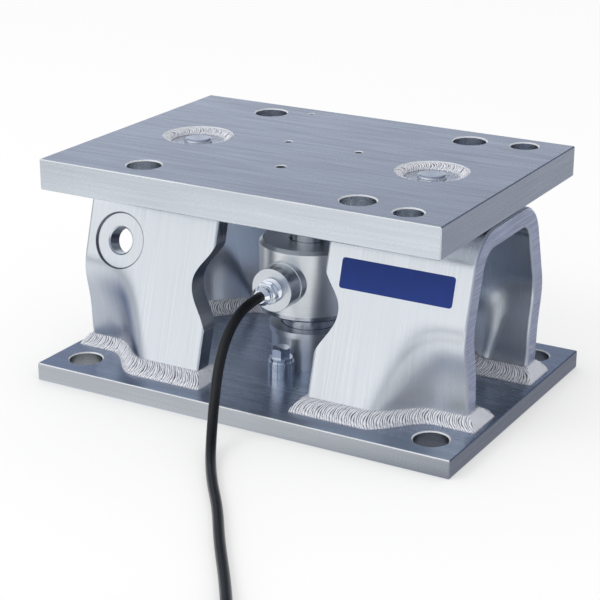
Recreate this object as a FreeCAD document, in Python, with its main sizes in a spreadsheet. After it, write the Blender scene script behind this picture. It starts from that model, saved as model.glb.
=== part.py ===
import FreeCAD, Part
import Sketcher
import math
import os
import re

# Weighing module: a canister load cell between a base plate and a top plate, with two folded yokes
# welded to the base plate whose webs hold the top plate down by two studs.
# Millimetres, +X along the plates, -Y towards the cable, +Z up, origin under the middle of the base plate.

SIZES = [
    # Base plate
    ("base_length", 300, "base plate along X"),
    ("base_width", 200, "base plate along Y"),
    ("base_thick", 12, "base plate thickness"),
    ("anchor_edge_x", 23, "anchor holes' middles from the base plate's ends"),
    ("anchor_edge_y", 22.5, "anchor holes' middles from the base plate's sides"),
    ("anchor_hole", 22, "anchor hole diameter"),
    ("rim_chamfer", 0.8, "broken edge at the large holes' rims"),
    ("small_chamfer", 0.5, "broken edge at the small holes' rims"),
    ("edge_chamfer", 0.6, "broken edge all round the plates"),
    # Top plate
    ("top_length", 280, "top plate along X"),
    ("top_width", 200, "top plate along Y"),
    ("top_thick", 20, "top plate thickness"),
    ("top_under", 132.5, "height of the top plate's underside"),
    ("top_edge_x", 64.5, "mounting holes' middles from the top plate's ends"),
    ("top_edge_y", 22.5, "mounting holes' middles from the top plate's sides"),
    ("top_hole", 22, "mounting hole diameter"),
    ("end_edge_x", 28.5, "end holes' middles from the top plate's right end"),
    ("end_edge_y", 16.3, "end holes' middles from the top plate's sides"),
    ("end_hole", 18, "end hole diameter"),
    ("access_hole", 6.5, "hole over the anti-rotation bolt, diameter"),
    ("earth_x", 49.6, "earthing hole from the middle along -X"),
    ("earth_edge", 11.5, "earthing hole's middle from the top plate's back side"),
    ("earth_hole", 3.5, "earthing hole diameter"),
    ("earth_depth", 8, "earthing hole depth"),
    # Yokes
    ("yoke_inner", 40, "yoke's inner end from the middle along X"),
    ("yoke_inset", 11, "yoke's outer end inside the base plate's end"),
    ("sheet_thick", 13.5, "yoke sheet thickness"),
    ("web_gap", 1.5, "gap between the yoke's web and the top plate"),
    ("bend_radius", 14, "inner radius of the yoke's bends"),
    ("knee_height", 71, "height of the knee in the pressed outer ends"),
    ("knee_out", 60.2, "leg's outer face from the middle along Y, at the knee's height"),
    ("knee_band", 8, "half height of the rounding of the knee"),
    ("leg_angle", 16.28, "slope of the legs from upright, degrees"),
    ("press_angle", 9.8, "backward slope of the pressed ends below the knee, degrees"),
    ("sway_foot_in", 41, "middle of the foot's S bend from the yoke's outer end"),
    ("sway_knee_in", 27, "middle of the S bend from the yoke's outer end, at the knee's height"),
    ("sway_length", 38, "length of the S bend along X"),
    ("notch_low", 40, "lower end of the inner ends' notches"),
    ("notch_deep", 73.3, "height of the notches' deepest point"),
    ("notch_high", 102, "upper end of the notches"),
    ("notch_depth", 13.4, "depth of the notches along X"),
    ("notch_lead", 0.4, "notch ends' distance off the yoke's end face"),
    ("web_hole", 28, "clearance hole in the web for the stud"),
    ("spot_in", 26, "spot face on the left yoke from the yoke's outer end"),
    ("spot_height", 90.2, "height of the spot face's middle"),
    ("spot_face", 36.2, "spot face diameter"),
    ("spot_depth", 1.5, "spot face depth"),
    ("spot_edge", 0.7, "broken edge round the spot face"),
    ("spot_hole", 17.5, "hole in the spot face, diameter"),
    ("spot_rim", 1, "broken edge at both rims of that hole"),
    ("edge_round", 2, "rounding of the yoke's edges"),
    ("weld_toe", 9, "weld bead's width on the base plate"),
    ("weld_end", 7.5, "weld bead's width at the feet's ends"),
    ("weld_rise", 8, "weld bead's height on the yoke"),
    ("weld_lip", 0.8, "weld bead's width at its upper edge"),
    # Hold-down studs
    ("stud_x", 85.75, "studs from the middle along X"),
    ("stud_size", 20, "stud diameter"),
    ("stud_slack", 0.5, "clearance round the stud in the top plate"),
    ("sink_size", 45.5, "counterbore diameter"),
    ("sink_depth", 10, "counterbore depth"),
    ("head_thick", 5.7, "disc head thickness"),
    ("head_slack", 0.1, "clearance round the disc head"),
    ("boss_size", 18.4, "raised stud end on the disc head, diameter"),
    ("boss_height", 2.6, "raised stud end on the disc head, height"),
    ("boss_round", 1.8, "rounding of the raised stud end"),
    ("ring_weld_toe", 5.5, "ring weld's width on the disc head"),
    ("ring_weld_rise", 3.8, "ring weld's height on the counterbore's wall"),
    ("lift_play", 3, "play below the web before the washer stops a lift"),
    ("washer_size", 37, "washer diameter"),
    ("washer_thick", 3, "washer thickness"),
    ("nut_across", 30, "nut's width across flats"),
    ("nut_height", 16, "nut height"),
    ("nut_bevel", 1.2, "bevel of the nuts' corners"),
    ("locknut_height", 10, "locknut height"),
    ("stud_end", 3, "stud end below the locknut"),
    ("stud_chamfer", 1.5, "chamfer of the stud's end"),
    # Lower receiver and the column's foot
    ("cup_radius", 25.5, "lower cup's radius"),
    ("cup_height", 26, "lower cup's height"),
    ("cup_flange_radius", 27, "lower cup's rim radius"),
    ("cup_flange", 4, "lower cup's rim height"),
    ("cup_floor", 8, "lower cup's floor thickness"),
    ("spigot_radius", 9, "lower cup's spigot in the base plate, radius"),
    ("spigot_length", 6, "lower cup's spigot length"),
    ("neck_radius", 18.5, "column's lower neck radius"),
    ("neck_slack", 0.5, "clearance between a neck and its cup"),
    ("neck_show", 10.5, "lower neck between the cup and the canister"),
    ("disc_thick", 4, "bearing disc thickness"),
    ("disc_slack", 0.1, "clearance round a bearing disc"),
    ("rocker_radius", 150, "radius of the column's rounded ends"),
    ("seal_width", 1.6, "seal ring's width in the cup's wall"),
    ("seal_height", 2.2, "seal ring's height"),
    ("seal_lip", 1.2, "cup's lip over the seal ring"),
    ("base_screw_x", 16, "cup screws from the middle along X"),
    ("base_screw_size", 5, "cup screw diameter"),
    ("base_screw_head", 10, "cup screw head diameter"),
    ("base_screw_bite", 6, "cup screw's length in the cup"),
    # Canister
    ("cell_radius", 33.4, "canister radius"),
    ("cell_height", 47.5, "canister height"),
    ("cell_floor", 3.5, "canister floor thickness"),
    ("floor_chamfer", 1.2, "broken edge under the canister"),
    ("cell_wall", 5, "canister wall thickness"),
    ("cell_lid", 4, "canister lid thickness"),
    ("lid_chamfer", 2.2, "chamfer of the lid's rim"),
    ("column_radius", 16, "measuring column radius"),
    ("column_flat", 14, "measuring column's flats from its axis"),
    ("flat_height", 24, "height of the flats"),
    ("gauge_width", 8, "strain gauge width"),
    ("gauge_height", 10, "strain gauge height"),
    ("gauge_thick", 0.6, "strain gauge thickness"),
    ("board_drop", 6, "signal board below the lid"),
    ("board_ledge", 2, "ledge that the signal board lies on"),
    ("board_thick", 1.6, "signal board thickness"),
    ("board_slack", 0.2, "clearance round the signal board"),
    ("board_bore", 18, "signal board's bore radius"),
    # Upper receiver and the column's head
    ("head_radius", 13.6, "column's upper neck radius"),
    ("hood_radius", 20, "upper cup's radius"),
    ("hood_height", 26.5, "upper cup's height below the top plate"),
    ("hood_flange_radius", 34.5, "upper cup's flange radius"),
    ("hood_flange", 8, "upper cup's flange thickness"),
    ("hood_roof", 11, "upper cup's roof thickness"),
    ("hood_screw_x", 26, "upper cup's screws from the middle along X"),
    ("hood_screw_y", 16, "upper cup's screws from the middle along Y"),
    ("hood_screw_size", 5, "upper cup's screw diameter"),
    ("hood_screw_bite", 12, "upper cup's screw length in the top plate"),
    ("hood_screw_head", 8.5, "upper cup's screw head diameter"),
    ("hood_screw_head_height", 5, "upper cup's screw head height"),
    # Cable boss and gland, along -Y from the canister's axis
    ("boss_axis", 74.3, "height of the gland's axis"),
    ("boss_radius", 13.3, "cable boss radius"),
    ("boss_front", 45, "cable boss's front face from the canister's axis"),
    ("boss_root_radius", 14.5, "root ring radius"),
    ("boss_root", 36.3, "root ring's front face from the canister's axis"),
    ("boss_sunk", 1, "root ring's depth behind the line where it meets the canister"),
    ("boss_chamfer", 0.8, "broken edge of the cable boss"),
    ("wire_bore", 4, "bore behind the gland, radius"),
    ("stub_radius", 7.4, "gland stub radius"),
    ("stub_length", 9, "gland stub length"),
    ("stub_thread_radius", 6, "gland's spigot in the boss, radius"),
    ("stub_thread", 7, "gland's spigot length"),
    ("gland_across", 13, "gland nut's width across flats"),
    ("gland_hex", 4, "gland nut's hexagon length"),
    ("hex_bevel", 0.6, "bevel of the small hexagons' corners"),
    ("nozzle_radius", 6.3, "gland nut's nozzle radius"),
    ("nozzle_length", 6.5, "gland nut's nozzle length"),
    ("nozzle_chamfer", 2.2, "chamfer of the nozzle's mouth"),
    ("cable_slack", 0.15, "clearance round the cable in the gland"),
    ("gland_seal_radius", 5, "gland seal's radius"),
    ("gland_seal_length", 4, "gland seal's length"),
    ("entry_start", 27, "inner end of the cable from the canister's axis"),
    ("entry_sunk", 2.5, "free cable's start behind the nozzle's mouth"),
    # Anti-rotation bolt
    ("stop_y", 38, "anti-rotation bolt from the middle, towards the cable"),
    ("stop_sleeve_radius", 8.6, "sleeve radius"),
    ("stop_sleeve_height", 11, "sleeve height"),
    ("stop_slack", 0.2, "clearance round the bolt in the sleeve"),
    ("stop_bolt_size", 6, "bolt diameter"),
    ("stop_bolt_bite", 9, "bolt's length in the base plate"),
    ("stop_flange_radius", 7.6, "bolt's flange radius"),
    ("stop_flange", 2.5, "bolt's flange thickness"),
    ("stop_across", 11.2, "bolt head's width across flats"),
    ("stop_head", 6.3, "bolt head's height above its flange"),
    # Cable
    ("cable_size", 6.5, "cable diameter"),
    ("cable_straight", 15, "straight cable before the droop"),
    ("coil_inner", 26.5, "radius of the coil's innermost turn"),
    ("coil_steps", 4, "steps from the innermost turn to the outermost"),
    ("coil_pitch", 6.6, "distance from turn to turn and from layer to layer"),
    ("coil_round", 3, "rounding of the coil's edges"),
    ("coil_lead", 34, "straight cable before the coil"),
    ("coil_leave", 28, "straight cable after the coil"),
    ("tie_width", 9, "coil tie's width"),
    ("tie_thick", 1.2, "coil tie's thickness"),
    ("tail_level", 10, "tail's run at the height of the upper layer"),
    ("tail_slope", 46, "tail's run down to the floor"),
    ("tail_run", 30, "tail's run over the floor"),
    ("tail_turn", 14, "turn of the tail on the floor, degrees"),
    ("sleeve_thick", 0.7, "end sleeve's wall"),
    ("sleeve_length", 18, "end sleeve's length"),
    ("sleeve_over", 6, "end sleeve beyond the cable's end"),
    ("core_size", 1.3, "diameter of a core"),
    ("core_ring", 1.6, "radius of the ring of cores"),
    ("core_length", 30, "length of the cores beyond the cable's end"),
]

# Levels and sizes that follow from the driving sizes.
DERIVED = {
    "anchor_spacing_x": "base_length - 2 * anchor_edge_x",
    "anchor_spacing_y": "base_width - 2 * anchor_edge_y",
    "top_spacing_x": "top_length - 2 * top_edge_x",
    "top_spacing_y": "top_width - 2 * top_edge_y",
    "end_hole_x": "top_length / 2 - end_edge_x",
    "end_spacing_y": "top_width - 2 * end_edge_y",
    "earth_y": "top_width / 2 - earth_edge",
    "yoke_outer": "base_length / 2 - yoke_inset",
    "sway_foot": "yoke_outer - sway_foot_in",
    "sway_knee": "yoke_outer - sway_knee_in",
    "spot_x": "yoke_outer - spot_in",
    "top_face": "top_under + top_thick",
    "web_top": "top_under - web_gap",
    "web_low": "web_top - sheet_thick",
    "sink_floor": "top_face - sink_depth",
    "head_top": "sink_floor + head_thick",
    "washer_top": "web_low - lift_play",
    "nut_top": "washer_top - washer_thick",
    "locknut_top": "nut_top - nut_height",
    "stud_low": "locknut_top - locknut_height - stud_end",
    "cup_top": "base_thick + cup_height",
    "cup_bore": "neck_radius + neck_slack",
    "disc_low": "base_thick + cup_floor",
    "column_low": "disc_low + disc_thick",
    "cell_low": "cup_top + neck_show",
    "cell_top": "cell_low + cell_height",
    "wall_low": "cell_low + cell_floor",
    "lid_low": "cell_top - cell_lid",
    "board_low": "lid_low - board_drop",
    "wall_bore": "cell_radius - cell_wall",
    "board_seat": "wall_bore + board_ledge",
    "flat_low": "(wall_low + board_low - flat_height) / 2",
    "hood_low": "top_under - hood_height",
    "hood_seat": "top_under - hood_roof",
    "column_high": "hood_seat - disc_thick",
    "hood_bore": "head_radius + neck_slack",
    "stub_front": "boss_front + stub_length",
    "nozzle_front": "stub_front + gland_hex + nozzle_length",
    "cable_radius": "cable_size / 2",
    "cable_start": "nozzle_front - entry_sunk",
    "coil_outer": "coil_inner + coil_steps * coil_pitch",
    "stop_flange_low": "base_thick + stop_sleeve_height",
    "stop_head_low": "stop_flange_low + stop_flange",
}

# The free cable's droop: across, ahead of its start and below its start.
DROOP = [
    (0, 30.8, 4.7),
    (0, 43, 15.1),
    (0.2, 51.7, 30.8),
    (1.5, 59, 50.8),
]
# Its landing and its run over the floor: across, along and above the lying cable.
FLOOR_RUN = [
    (9, -136, 5.25),
    (19.5, -153.5, 0),
    (36, -177.5, 0),
    (56, -203, 0),
    (78, -236, 0),
    (103, -270, 0),
]
# The end of the route, where the cable lies on the coil's tie.
RUN_END = [(123, -299.6), (139, -323.3)]

# Share of the shorter run that an arc of the cable takes.
ARC_SHARE = 0.45
# Reach of an S curve's handles, as a share of its length.
SWAY_REACH = 0.4

DOC = FreeCAD.newDocument("weighing_module")
SHEET = DOC.addObject("Spreadsheet::Sheet", "sizes")
NAMES = {name for name, number, note in SIZES}
NODES = []


def fill_sheet():
    for row, (name, number, note) in enumerate(SIZES, 1):
        SHEET.set(f"A{row}", note)
        SHEET.set(f"B{row}", str(number))
        SHEET.setAlias(f"B{row}", name)
    DOC.recompute()


def formula(words):
    """An expression in the sheet's cells, with the derived sizes written out."""
    def spell(match):
        name = match.group(0)
        if name in DERIVED:
            return "(" + formula(DERIVED[name]) + ")"
        return "sizes." + name if name in NAMES else name
    return re.sub(r"[a-z_]+", spell, words)


def value(words):
    """The number that an expression in the sheet's cells stands for now."""
    return float(SHEET.evalExpression(formula(words)))


def bind(thing, field, words):
    thing.setExpression(field, formula(words))


def node(thing, label):
    """Marks an object as a sub-part under its own name."""
    thing.Label = label
    NODES.append(thing)
    return thing


# Sketches and solid features

def new_body(label):
    return DOC.addObject("PartDesign::Body", label)


def new_sketch(body, role, lift="0"):
    plane = next(face for face in body.Origin.OriginFeatures if face.Role == role)
    sketch = body.newObject("Sketcher::SketchObject", "sketch")
    sketch.AttachmentSupport = [(plane, "")]
    sketch.MapMode = "FlatFace"
    bind(sketch, "AttachmentOffset.Base.z", lift)
    return sketch


def pin_point(sketch, shape, point, across, up):
    """Holds one point of a sketch at its distances from the origin."""
    across_lock = sketch.addConstraint(Sketcher.Constraint("DistanceX", -1, 1, shape, point, value(across)))
    bind(sketch, f"Constraints[{across_lock}]", across)
    up_lock = sketch.addConstraint(Sketcher.Constraint("DistanceY", -1, 1, shape, point, value(up)))
    bind(sketch, f"Constraints[{up_lock}]", up)


def draw_outline(sketch, corners):
    """A closed outline of straight lines through corners given as expressions."""
    spots = [FreeCAD.Vector(value(across), value(up), 0) for across, up in corners]
    lines = []
    for here, there in zip(spots, spots[1:] + spots[:1]):
        lines.append(sketch.addGeometry(Part.LineSegment(here, there)))
    for line, following in zip(lines, lines[1:] + lines[:1]):
        sketch.addConstraint(Sketcher.Constraint("Coincident", line, 2, following, 1))
    for line, (across, up) in zip(lines, corners):
        pin_point(sketch, line, 1, across, up)


def draw_circle(sketch, across, up, radius):
    centre = FreeCAD.Vector(value(across), value(up), 0)
    circle = sketch.addGeometry(Part.Circle(centre, FreeCAD.Vector(0, 0, 1), value(radius)))
    pin_point(sketch, circle, 3, across, up)
    lock = sketch.addConstraint(Sketcher.Constraint("Radius", circle, value(radius)))
    bind(sketch, f"Constraints[{lock}]", radius)


def draw_hexagon(sketch, across_flats):
    corner = f"({across_flats}) / sqrt(3)"
    half = f"({across_flats}) / 2"
    draw_outline(sketch, [
        (corner, "0"), (f"{corner} / 2", half), (f"-{corner} / 2", half),
        (f"-{corner}", "0"), (f"-{corner} / 2", f"-{half}"), (f"{corner} / 2", f"-{half}"),
    ])


def rectangle(width, depth):
    """Corners of a rectangle about the origin."""
    across = f"({width}) / 2"
    up = f"({depth}) / 2"
    return [(f"-{across}", f"-{up}"), (across, f"-{up}"), (across, up), (f"-{across}", up)]


def pad(body, sketch, length):
    raised = body.newObject("PartDesign::Pad", "pad")
    raised.Profile = sketch
    bind(raised, "Length", length)
    DOC.recompute()


def pocket(body, sketch, depth=None):
    """Cuts down from a sketch to a depth, or both ways through all."""
    before = body.Shape.Volume
    sunk = body.newObject("PartDesign::Pocket", "pocket")
    sunk.Profile = sketch
    if depth is None:
        sunk.Type = "ThroughAll"
        sunk.Midplane = True
    else:
        bind(sunk, "Length", depth)
    DOC.recompute()
    if body.Shape.Volume >= before:
        raise RuntimeError(f"a pocket of {body.Name} cuts nothing")


def turned(label, profile):
    """A body turned from a profile of radius and height round its Z axis."""
    body = new_body(label)
    sketch = new_sketch(body, "XZ_Plane")
    draw_outline(sketch, profile)
    round_solid = body.newObject("PartDesign::Revolution", "turned")
    round_solid.Profile = sketch
    round_solid.ReferenceAxis = (sketch, ["V_Axis"])
    round_solid.Angle = 360
    DOC.recompute()
    return body


def ring(inner, outer, low, high):
    """Profile of a plain ring."""
    return [(inner, low), (outer, low), (outer, high), (inner, high)]


def cut_to_hexagon(body, across_flats, low, high):
    """Takes away what stands outside a hexagon between two heights."""
    sketch = new_sketch(body, "XY_Plane", high)
    draw_hexagon(sketch, across_flats)
    draw_circle(sketch, "0", "0", across_flats)
    pocket(body, sketch, f"({high}) - ({low})")


def round_edges(body, radii, heights):
    """Names of a body's round edges that have one of the radii at one of the heights."""
    DOC.recompute()
    rims = []
    for number, edge in enumerate(body.Shape.Edges, 1):
        if not isinstance(edge.Curve, Part.Circle):
            continue
        at_height = any(abs(edge.Curve.Center.z - value(height)) < 1e-6 for height in heights)
        of_size = any(abs(edge.Curve.Radius - value(radius)) < 1e-6 for radius in radii)
        if at_height and of_size:
            rims.append(f"Edge{number}")
    return rims


def chamfer_rims(body, radii, heights, width):
    """Breaks the rims of round holes."""
    chamfer(body, round_edges(body, radii, heights), width)


def round_rim(body, radius, height, width):
    """Rounds the rim of a turned end."""
    rim = round_edges(body, [radius], [height])
    solid = body.Tip
    rounded = body.newObject("PartDesign::Fillet", "rounding")
    rounded.Base = (solid, rim)
    bind(rounded, "Radius", width)
    DOC.recompute()


def chamfer_outline(body, length, breadth, width):
    """Breaks every straight edge of a plate about the origin, leaving its holes alone."""
    half_length = value(length) / 2
    half_breadth = value(breadth) / 2
    rims = []
    for number, edge in enumerate(body.Shape.Edges, 1):
        middle = edge.CenterOfMass
        at_end = abs(abs(middle.x) - half_length) < 1e-6
        at_side = abs(abs(middle.y) - half_breadth) < 1e-6
        if at_end or at_side:
            rims.append(f"Edge{number}")
    chamfer(body, rims, width)


def chamfer(body, edges, width):
    solid = body.Tip
    broken = body.newObject("PartDesign::Chamfer", "chamfer")
    broken.Base = (solid, edges)
    bind(broken, "Size", width)
    DOC.recompute()


def at(thing, across="0", along="0", up="0"):
    bind(thing, "Placement.Base.x", across)
    bind(thing, "Placement.Base.y", along)
    bind(thing, "Placement.Base.z", up)
    return thing


def along_gland(thing):
    """Lays a turned piece along the gland's axis, its height running towards -Y."""
    thing.Placement = FreeCAD.Placement(FreeCAD.Vector(), FreeCAD.Rotation(FreeCAD.Vector(1, 0, 0), 90))
    bind(thing, "Placement.Base.z", "boss_axis")
    return thing


def mirror_image(thing, name):
    """The same piece on the other side of the middle plane across X."""
    image = DOC.addObject("Part::Mirroring", name)
    image.Source = thing
    image.Base = FreeCAD.Vector(0, 0, 0)
    image.Normal = FreeCAD.Vector(1, 0, 0)
    return image


def pair(thing, label):
    """One sub-part of two like pieces, left and right."""
    group = DOC.addObject("Part::Compound", label)
    group.Links = [thing, mirror_image(thing, label + "_image")]
    return node(group, label)


def cut(base, tool, label):
    result = DOC.addObject("Part::Cut", label)
    result.Base = base
    result.Tool = tool
    return node(result, label)


def feature(shape, label):
    """A sub-part whose shape is worked out by code from the sheet's sizes."""
    thing = DOC.addObject("Part::Feature", label)
    thing.Shape = shape
    return node(thing, label)


# Plates

def corner_holes(body, spacing_x, spacing_y, diameter):
    sketch = new_sketch(body, "XY_Plane")
    for side in ("-", ""):
        for end in ("-", ""):
            draw_circle(sketch, f"{side}{spacing_x} / 2", f"{end}{spacing_y} / 2", f"{diameter} / 2")
    pocket(body, sketch)


def two_sided(across, up, radius):
    """Two like circles, left and right."""
    return [(f"-{across}", up, radius), (across, up, radius)]


def round_holes(body, circles, lift="0", depth=None):
    sketch = new_sketch(body, "XY_Plane", lift)
    for across, up, radius in circles:
        draw_circle(sketch, across, up, radius)
    pocket(body, sketch, depth)


def base_plate():
    body = new_body("base_plate")
    outline = new_sketch(body, "XY_Plane")
    draw_outline(outline, rectangle("base_length", "base_width"))
    pad(body, outline, "base_thick")
    chamfer_outline(body, "base_length", "base_width", "edge_chamfer")
    corner_holes(body, "anchor_spacing_x", "anchor_spacing_y", "anchor_hole")
    round_holes(body, [("0", "0", "spigot_radius")], "base_thick", "spigot_length")
    round_holes(body, [("0", "-stop_y", "stop_bolt_size / 2")], "base_thick", "stop_bolt_bite")
    round_holes(body, two_sided("base_screw_x", "0", "base_screw_size / 2"))
    chamfer_rims(body, ["base_screw_size / 2"], ["0"], "(base_screw_head - base_screw_size) / 2")
    chamfer_rims(body, ["anchor_hole / 2"], ["0", "base_thick"], "rim_chamfer")
    node(body, "base_plate")


def top_plate():
    body = new_body("top_plate")
    outline = new_sketch(body, "XY_Plane", "top_under")
    draw_outline(outline, rectangle("top_length", "top_width"))
    pad(body, outline, "top_thick")
    chamfer_outline(body, "top_length", "top_width", "edge_chamfer")
    corner_holes(body, "top_spacing_x", "top_spacing_y", "top_hole")
    round_holes(body, [
        ("end_hole_x", "end_spacing_y / 2", "end_hole / 2"),
        ("end_hole_x", "-end_spacing_y / 2", "end_hole / 2"),
        ("0", "-stop_y", "access_hole / 2"),
    ])
    round_holes(body, two_sided("hood_screw_x", "hood_screw_y", "hood_screw_size / 2"))
    round_holes(body, two_sided("stud_x", "0", "stud_size / 2 + stud_slack"))
    round_holes(body, two_sided("stud_x", "0", "sink_size / 2"), "top_face", "sink_depth")
    round_holes(body, [("-earth_x", "earth_y", "earth_hole / 2")], "top_face", "earth_depth")
    chamfer_rims(body, ["top_hole / 2", "end_hole / 2", "sink_size / 2"], ["top_face"], "rim_chamfer")
    small_holes = ["access_hole / 2", "hood_screw_size / 2", "earth_hole / 2"]
    chamfer_rims(body, small_holes, ["top_face"], "small_chamfer")
    node(body, "top_plate")


# Yokes

def slope(angle):
    return math.tan(math.radians(value(angle)))


def flat_face(height):
    """Distance of a leg's flat outer face from the middle plane along Y at a height."""
    return value("knee_out") + slope("leg_angle") * (value("knee_height") - height)


def press_depth(height):
    """How far the pressed outer end of a leg lies inside its flat face at a height, rounded at the knee."""
    band = value("knee_band")
    rate = slope("leg_angle") + slope("press_angle")
    below = value("knee_height") - height
    if below <= -band:
        return 0.0
    if below < band:
        return rate * (below + band) ** 2 / (4 * band)
    return rate * below


def sway(start, end, along):
    """An S-shaped curve between two parallel runs in a direction."""
    reach = along * (SWAY_REACH * (end - start).dot(along))
    curve = Part.BezierCurve()
    curve.setPoles([start, start + reach, end - reach, end])
    return curve.toShape()


def leg_outline(height, grow=0.0, end_grow=0.0):
    """Level outline of the front leg of the right yoke: a strip of sheet with an S bend, grown all round."""
    sheet = value("sheet_thick") / math.cos(math.radians(value("leg_angle")))
    depth = press_depth(height)
    share = (height - value("base_thick")) / value("knee_height - base_thick")
    middle = value("sway_foot") + share * value("sway_knee - sway_foot")
    half = value("sway_length") / 2
    lean = math.tan(math.atan(depth / (half * (2 - 2 * SWAY_REACH))) / 2)
    inner_end = value("yoke_inner") - end_grow
    outer_end = value("yoke_outer") + end_grow

    def face(offset):
        """The four corners of one face of the strip, moved outwards by an offset."""
        flat = -flat_face(height) - offset
        shift = middle + offset * lean
        return [
            FreeCAD.Vector(inner_end, flat, height),
            FreeCAD.Vector(shift - half, flat, height),
            FreeCAD.Vector(shift + half, flat + depth, height),
            FreeCAD.Vector(outer_end, flat + depth, height),
        ]

    front = face(grow)
    back = face(-sheet - grow)[::-1]
    edges = []
    for side in (front, back):
        edges.append(Part.makeLine(side[0], side[1]))
        edges.append(sway(side[1], side[2], FreeCAD.Vector(1, 0, 0)))
        edges.append(Part.makeLine(side[2], side[3]))
        edges.append(Part.makeLine(side[3], back[0] if side is front else front[0]))
    return Part.Wire(edges)


def leg_top():
    """Height where the pressed end has run out into the flat of the leg."""
    return value("knee_height + knee_band")


def pressed_leg():
    """The lower part of the right yoke's front leg, lofted from the foot up past the knee."""
    foot = value("base_thick")
    band_low = value("knee_height - knee_band")
    knee = value("knee_height")
    band = value("knee_band")
    heights = [foot, (foot + band_low) / 2, band_low, knee - band / 2, knee, knee + band / 2, leg_top()]
    return Part.makeLoft([leg_outline(height) for height in heights], True, False)


def channel():
    """The upper part of the right yoke: web, bends and the flat tops of both legs."""
    low = leg_top()
    top = value("web_top")
    thick = value("sheet_thick")
    sheet = thick / math.cos(math.radians(value("leg_angle")))
    start = value("yoke_inner")
    outer_low = flat_face(low)
    outer_top = flat_face(top)
    inner_top = flat_face(top - thick) - sheet
    section = [
        (-outer_low, low), (-outer_top, top), (outer_top, top), (outer_low, low),
        (outer_low - sheet, low), (inner_top, top - thick),
        (-inner_top, top - thick), (-outer_low + sheet, low),
    ]
    corners = [FreeCAD.Vector(start, along, up) for along, up in section]
    face = Part.Face(Part.makePolygon(corners + corners[:1]))
    solid = face.extrude(FreeCAD.Vector(value("yoke_outer") - start, 0, 0))

    def bend_edges(shape, height):
        return [edge for edge in shape.Edges
                if all(abs(vertex.Z - height) < 1e-6 for vertex in edge.Vertexes)
                and abs(edge.tangentAt(edge.FirstParameter).x) > 0.99]

    solid = solid.makeFillet(value("bend_radius + sheet_thick"), bend_edges(solid, top))
    return solid.makeFillet(value("bend_radius"), bend_edges(solid, top - thick))


def notch():
    """Cutter for the notches in the legs' inner ends: an S bend down and one up from the deepest point."""
    edge = value("yoke_inner")
    depth = value("notch_depth")
    reach = value("base_width")
    up = FreeCAD.Vector(0, 0, 1)
    clear = FreeCAD.Vector(-depth, 0, 0)
    outside = edge - value("notch_lead")
    low = FreeCAD.Vector(outside, -reach, value("notch_low"))
    deep = FreeCAD.Vector(edge + depth, -reach, value("notch_deep"))
    high = FreeCAD.Vector(outside, -reach, value("notch_high"))
    wire = Part.Wire([
        sway(low, deep, up), sway(deep, high, up), Part.makeLine(high, high + clear),
        Part.makeLine(high + clear, low + clear), Part.makeLine(low + clear, low),
    ])
    return Part.Face(wire).extrude(FreeCAD.Vector(0, 2 * reach, 0))


def end_edges(solid):
    """The edges round a yoke's two ends, apart from the feet."""
    foot = value("base_thick")
    ends = (value("yoke_inner"), value("yoke_outer"))
    return [edge for edge in solid.Edges
            if any(all(abs(vertex.X - end) < 1e-6 for vertex in edge.Vertexes) for end in ends)
            and any(vertex.Z > foot + 1e-6 for vertex in edge.Vertexes)
            and abs(edge.CenterOfMass.x - edge.Vertexes[0].X) < 1e-6]


def yoke_shape():
    """The right yoke without its spot face."""
    leg = pressed_leg()
    other_leg = leg.mirror(FreeCAD.Vector(), FreeCAD.Vector(0, 1, 0))
    solid = channel().fuse([leg, other_leg]).removeSplitter()
    below = FreeCAD.Vector(value("stud_x"), 0, value("web_low - sheet_thick"))
    hole = Part.makeCylinder(value("web_hole") / 2, value("3 * sheet_thick"), below)
    solid = solid.cut([notch(), hole])
    return solid.makeFillet(value("edge_round"), end_edges(solid))


def spot_cutter():
    """Cutter for the spot face and its hole, turned about the normal of the left yoke's front leg."""
    angle = math.radians(value("leg_angle"))
    height = value("spot_height")
    outward = FreeCAD.Vector(0, -math.cos(angle), math.sin(angle))
    middle = FreeCAD.Vector(-value("spot_x"), -flat_face(height), height)
    across = FreeCAD.Vector(1, 0, 0)
    profile = [(value(radius), value(depth)) for radius, depth in (
        ("0", "2 * sheet_thick"), ("spot_hole / 2 + spot_rim", "2 * sheet_thick"),
        ("spot_hole / 2 + spot_rim", "sheet_thick"), ("spot_hole / 2", "sheet_thick - spot_rim"),
        ("spot_hole / 2", "spot_depth + spot_rim"), ("spot_hole / 2 + spot_rim", "spot_depth"),
        ("spot_face / 2", "spot_depth"), ("spot_face / 2", "spot_edge"),
        ("spot_face / 2 + 2 * spot_edge", "-spot_edge"), ("0", "-spot_edge"),
    )]
    corners = [middle + across * radius - outward * depth for radius, depth in profile]
    face = Part.Face(Part.makePolygon(corners + corners[:1]))
    return face.revolve(middle, outward, 360)


def foot_welds(yoke):
    """Fillet beads round both feet of the right yoke."""
    foot = value("base_thick")
    toe = leg_outline(foot, value("weld_toe"), value("weld_end"))
    top = leg_outline(foot + value("weld_rise"), value("weld_lip"), value("weld_lip"))
    bead = Part.makeLoft([toe, top], True, True).cut(yoke)
    return Part.makeCompound([bead, bead.mirror(FreeCAD.Vector(), FreeCAD.Vector(0, 1, 0))])


def yokes():
    across = FreeCAD.Vector(1, 0, 0)
    right = yoke_shape()
    welds = foot_welds(right)
    feature(right, "right_yoke")
    feature(right.mirror(FreeCAD.Vector(), across).cut(spot_cutter()), "left_yoke")
    feature(welds, "right_yoke_welds")
    feature(welds.mirror(FreeCAD.Vector(), across), "left_yoke_welds")


# Hold-down studs

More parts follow.
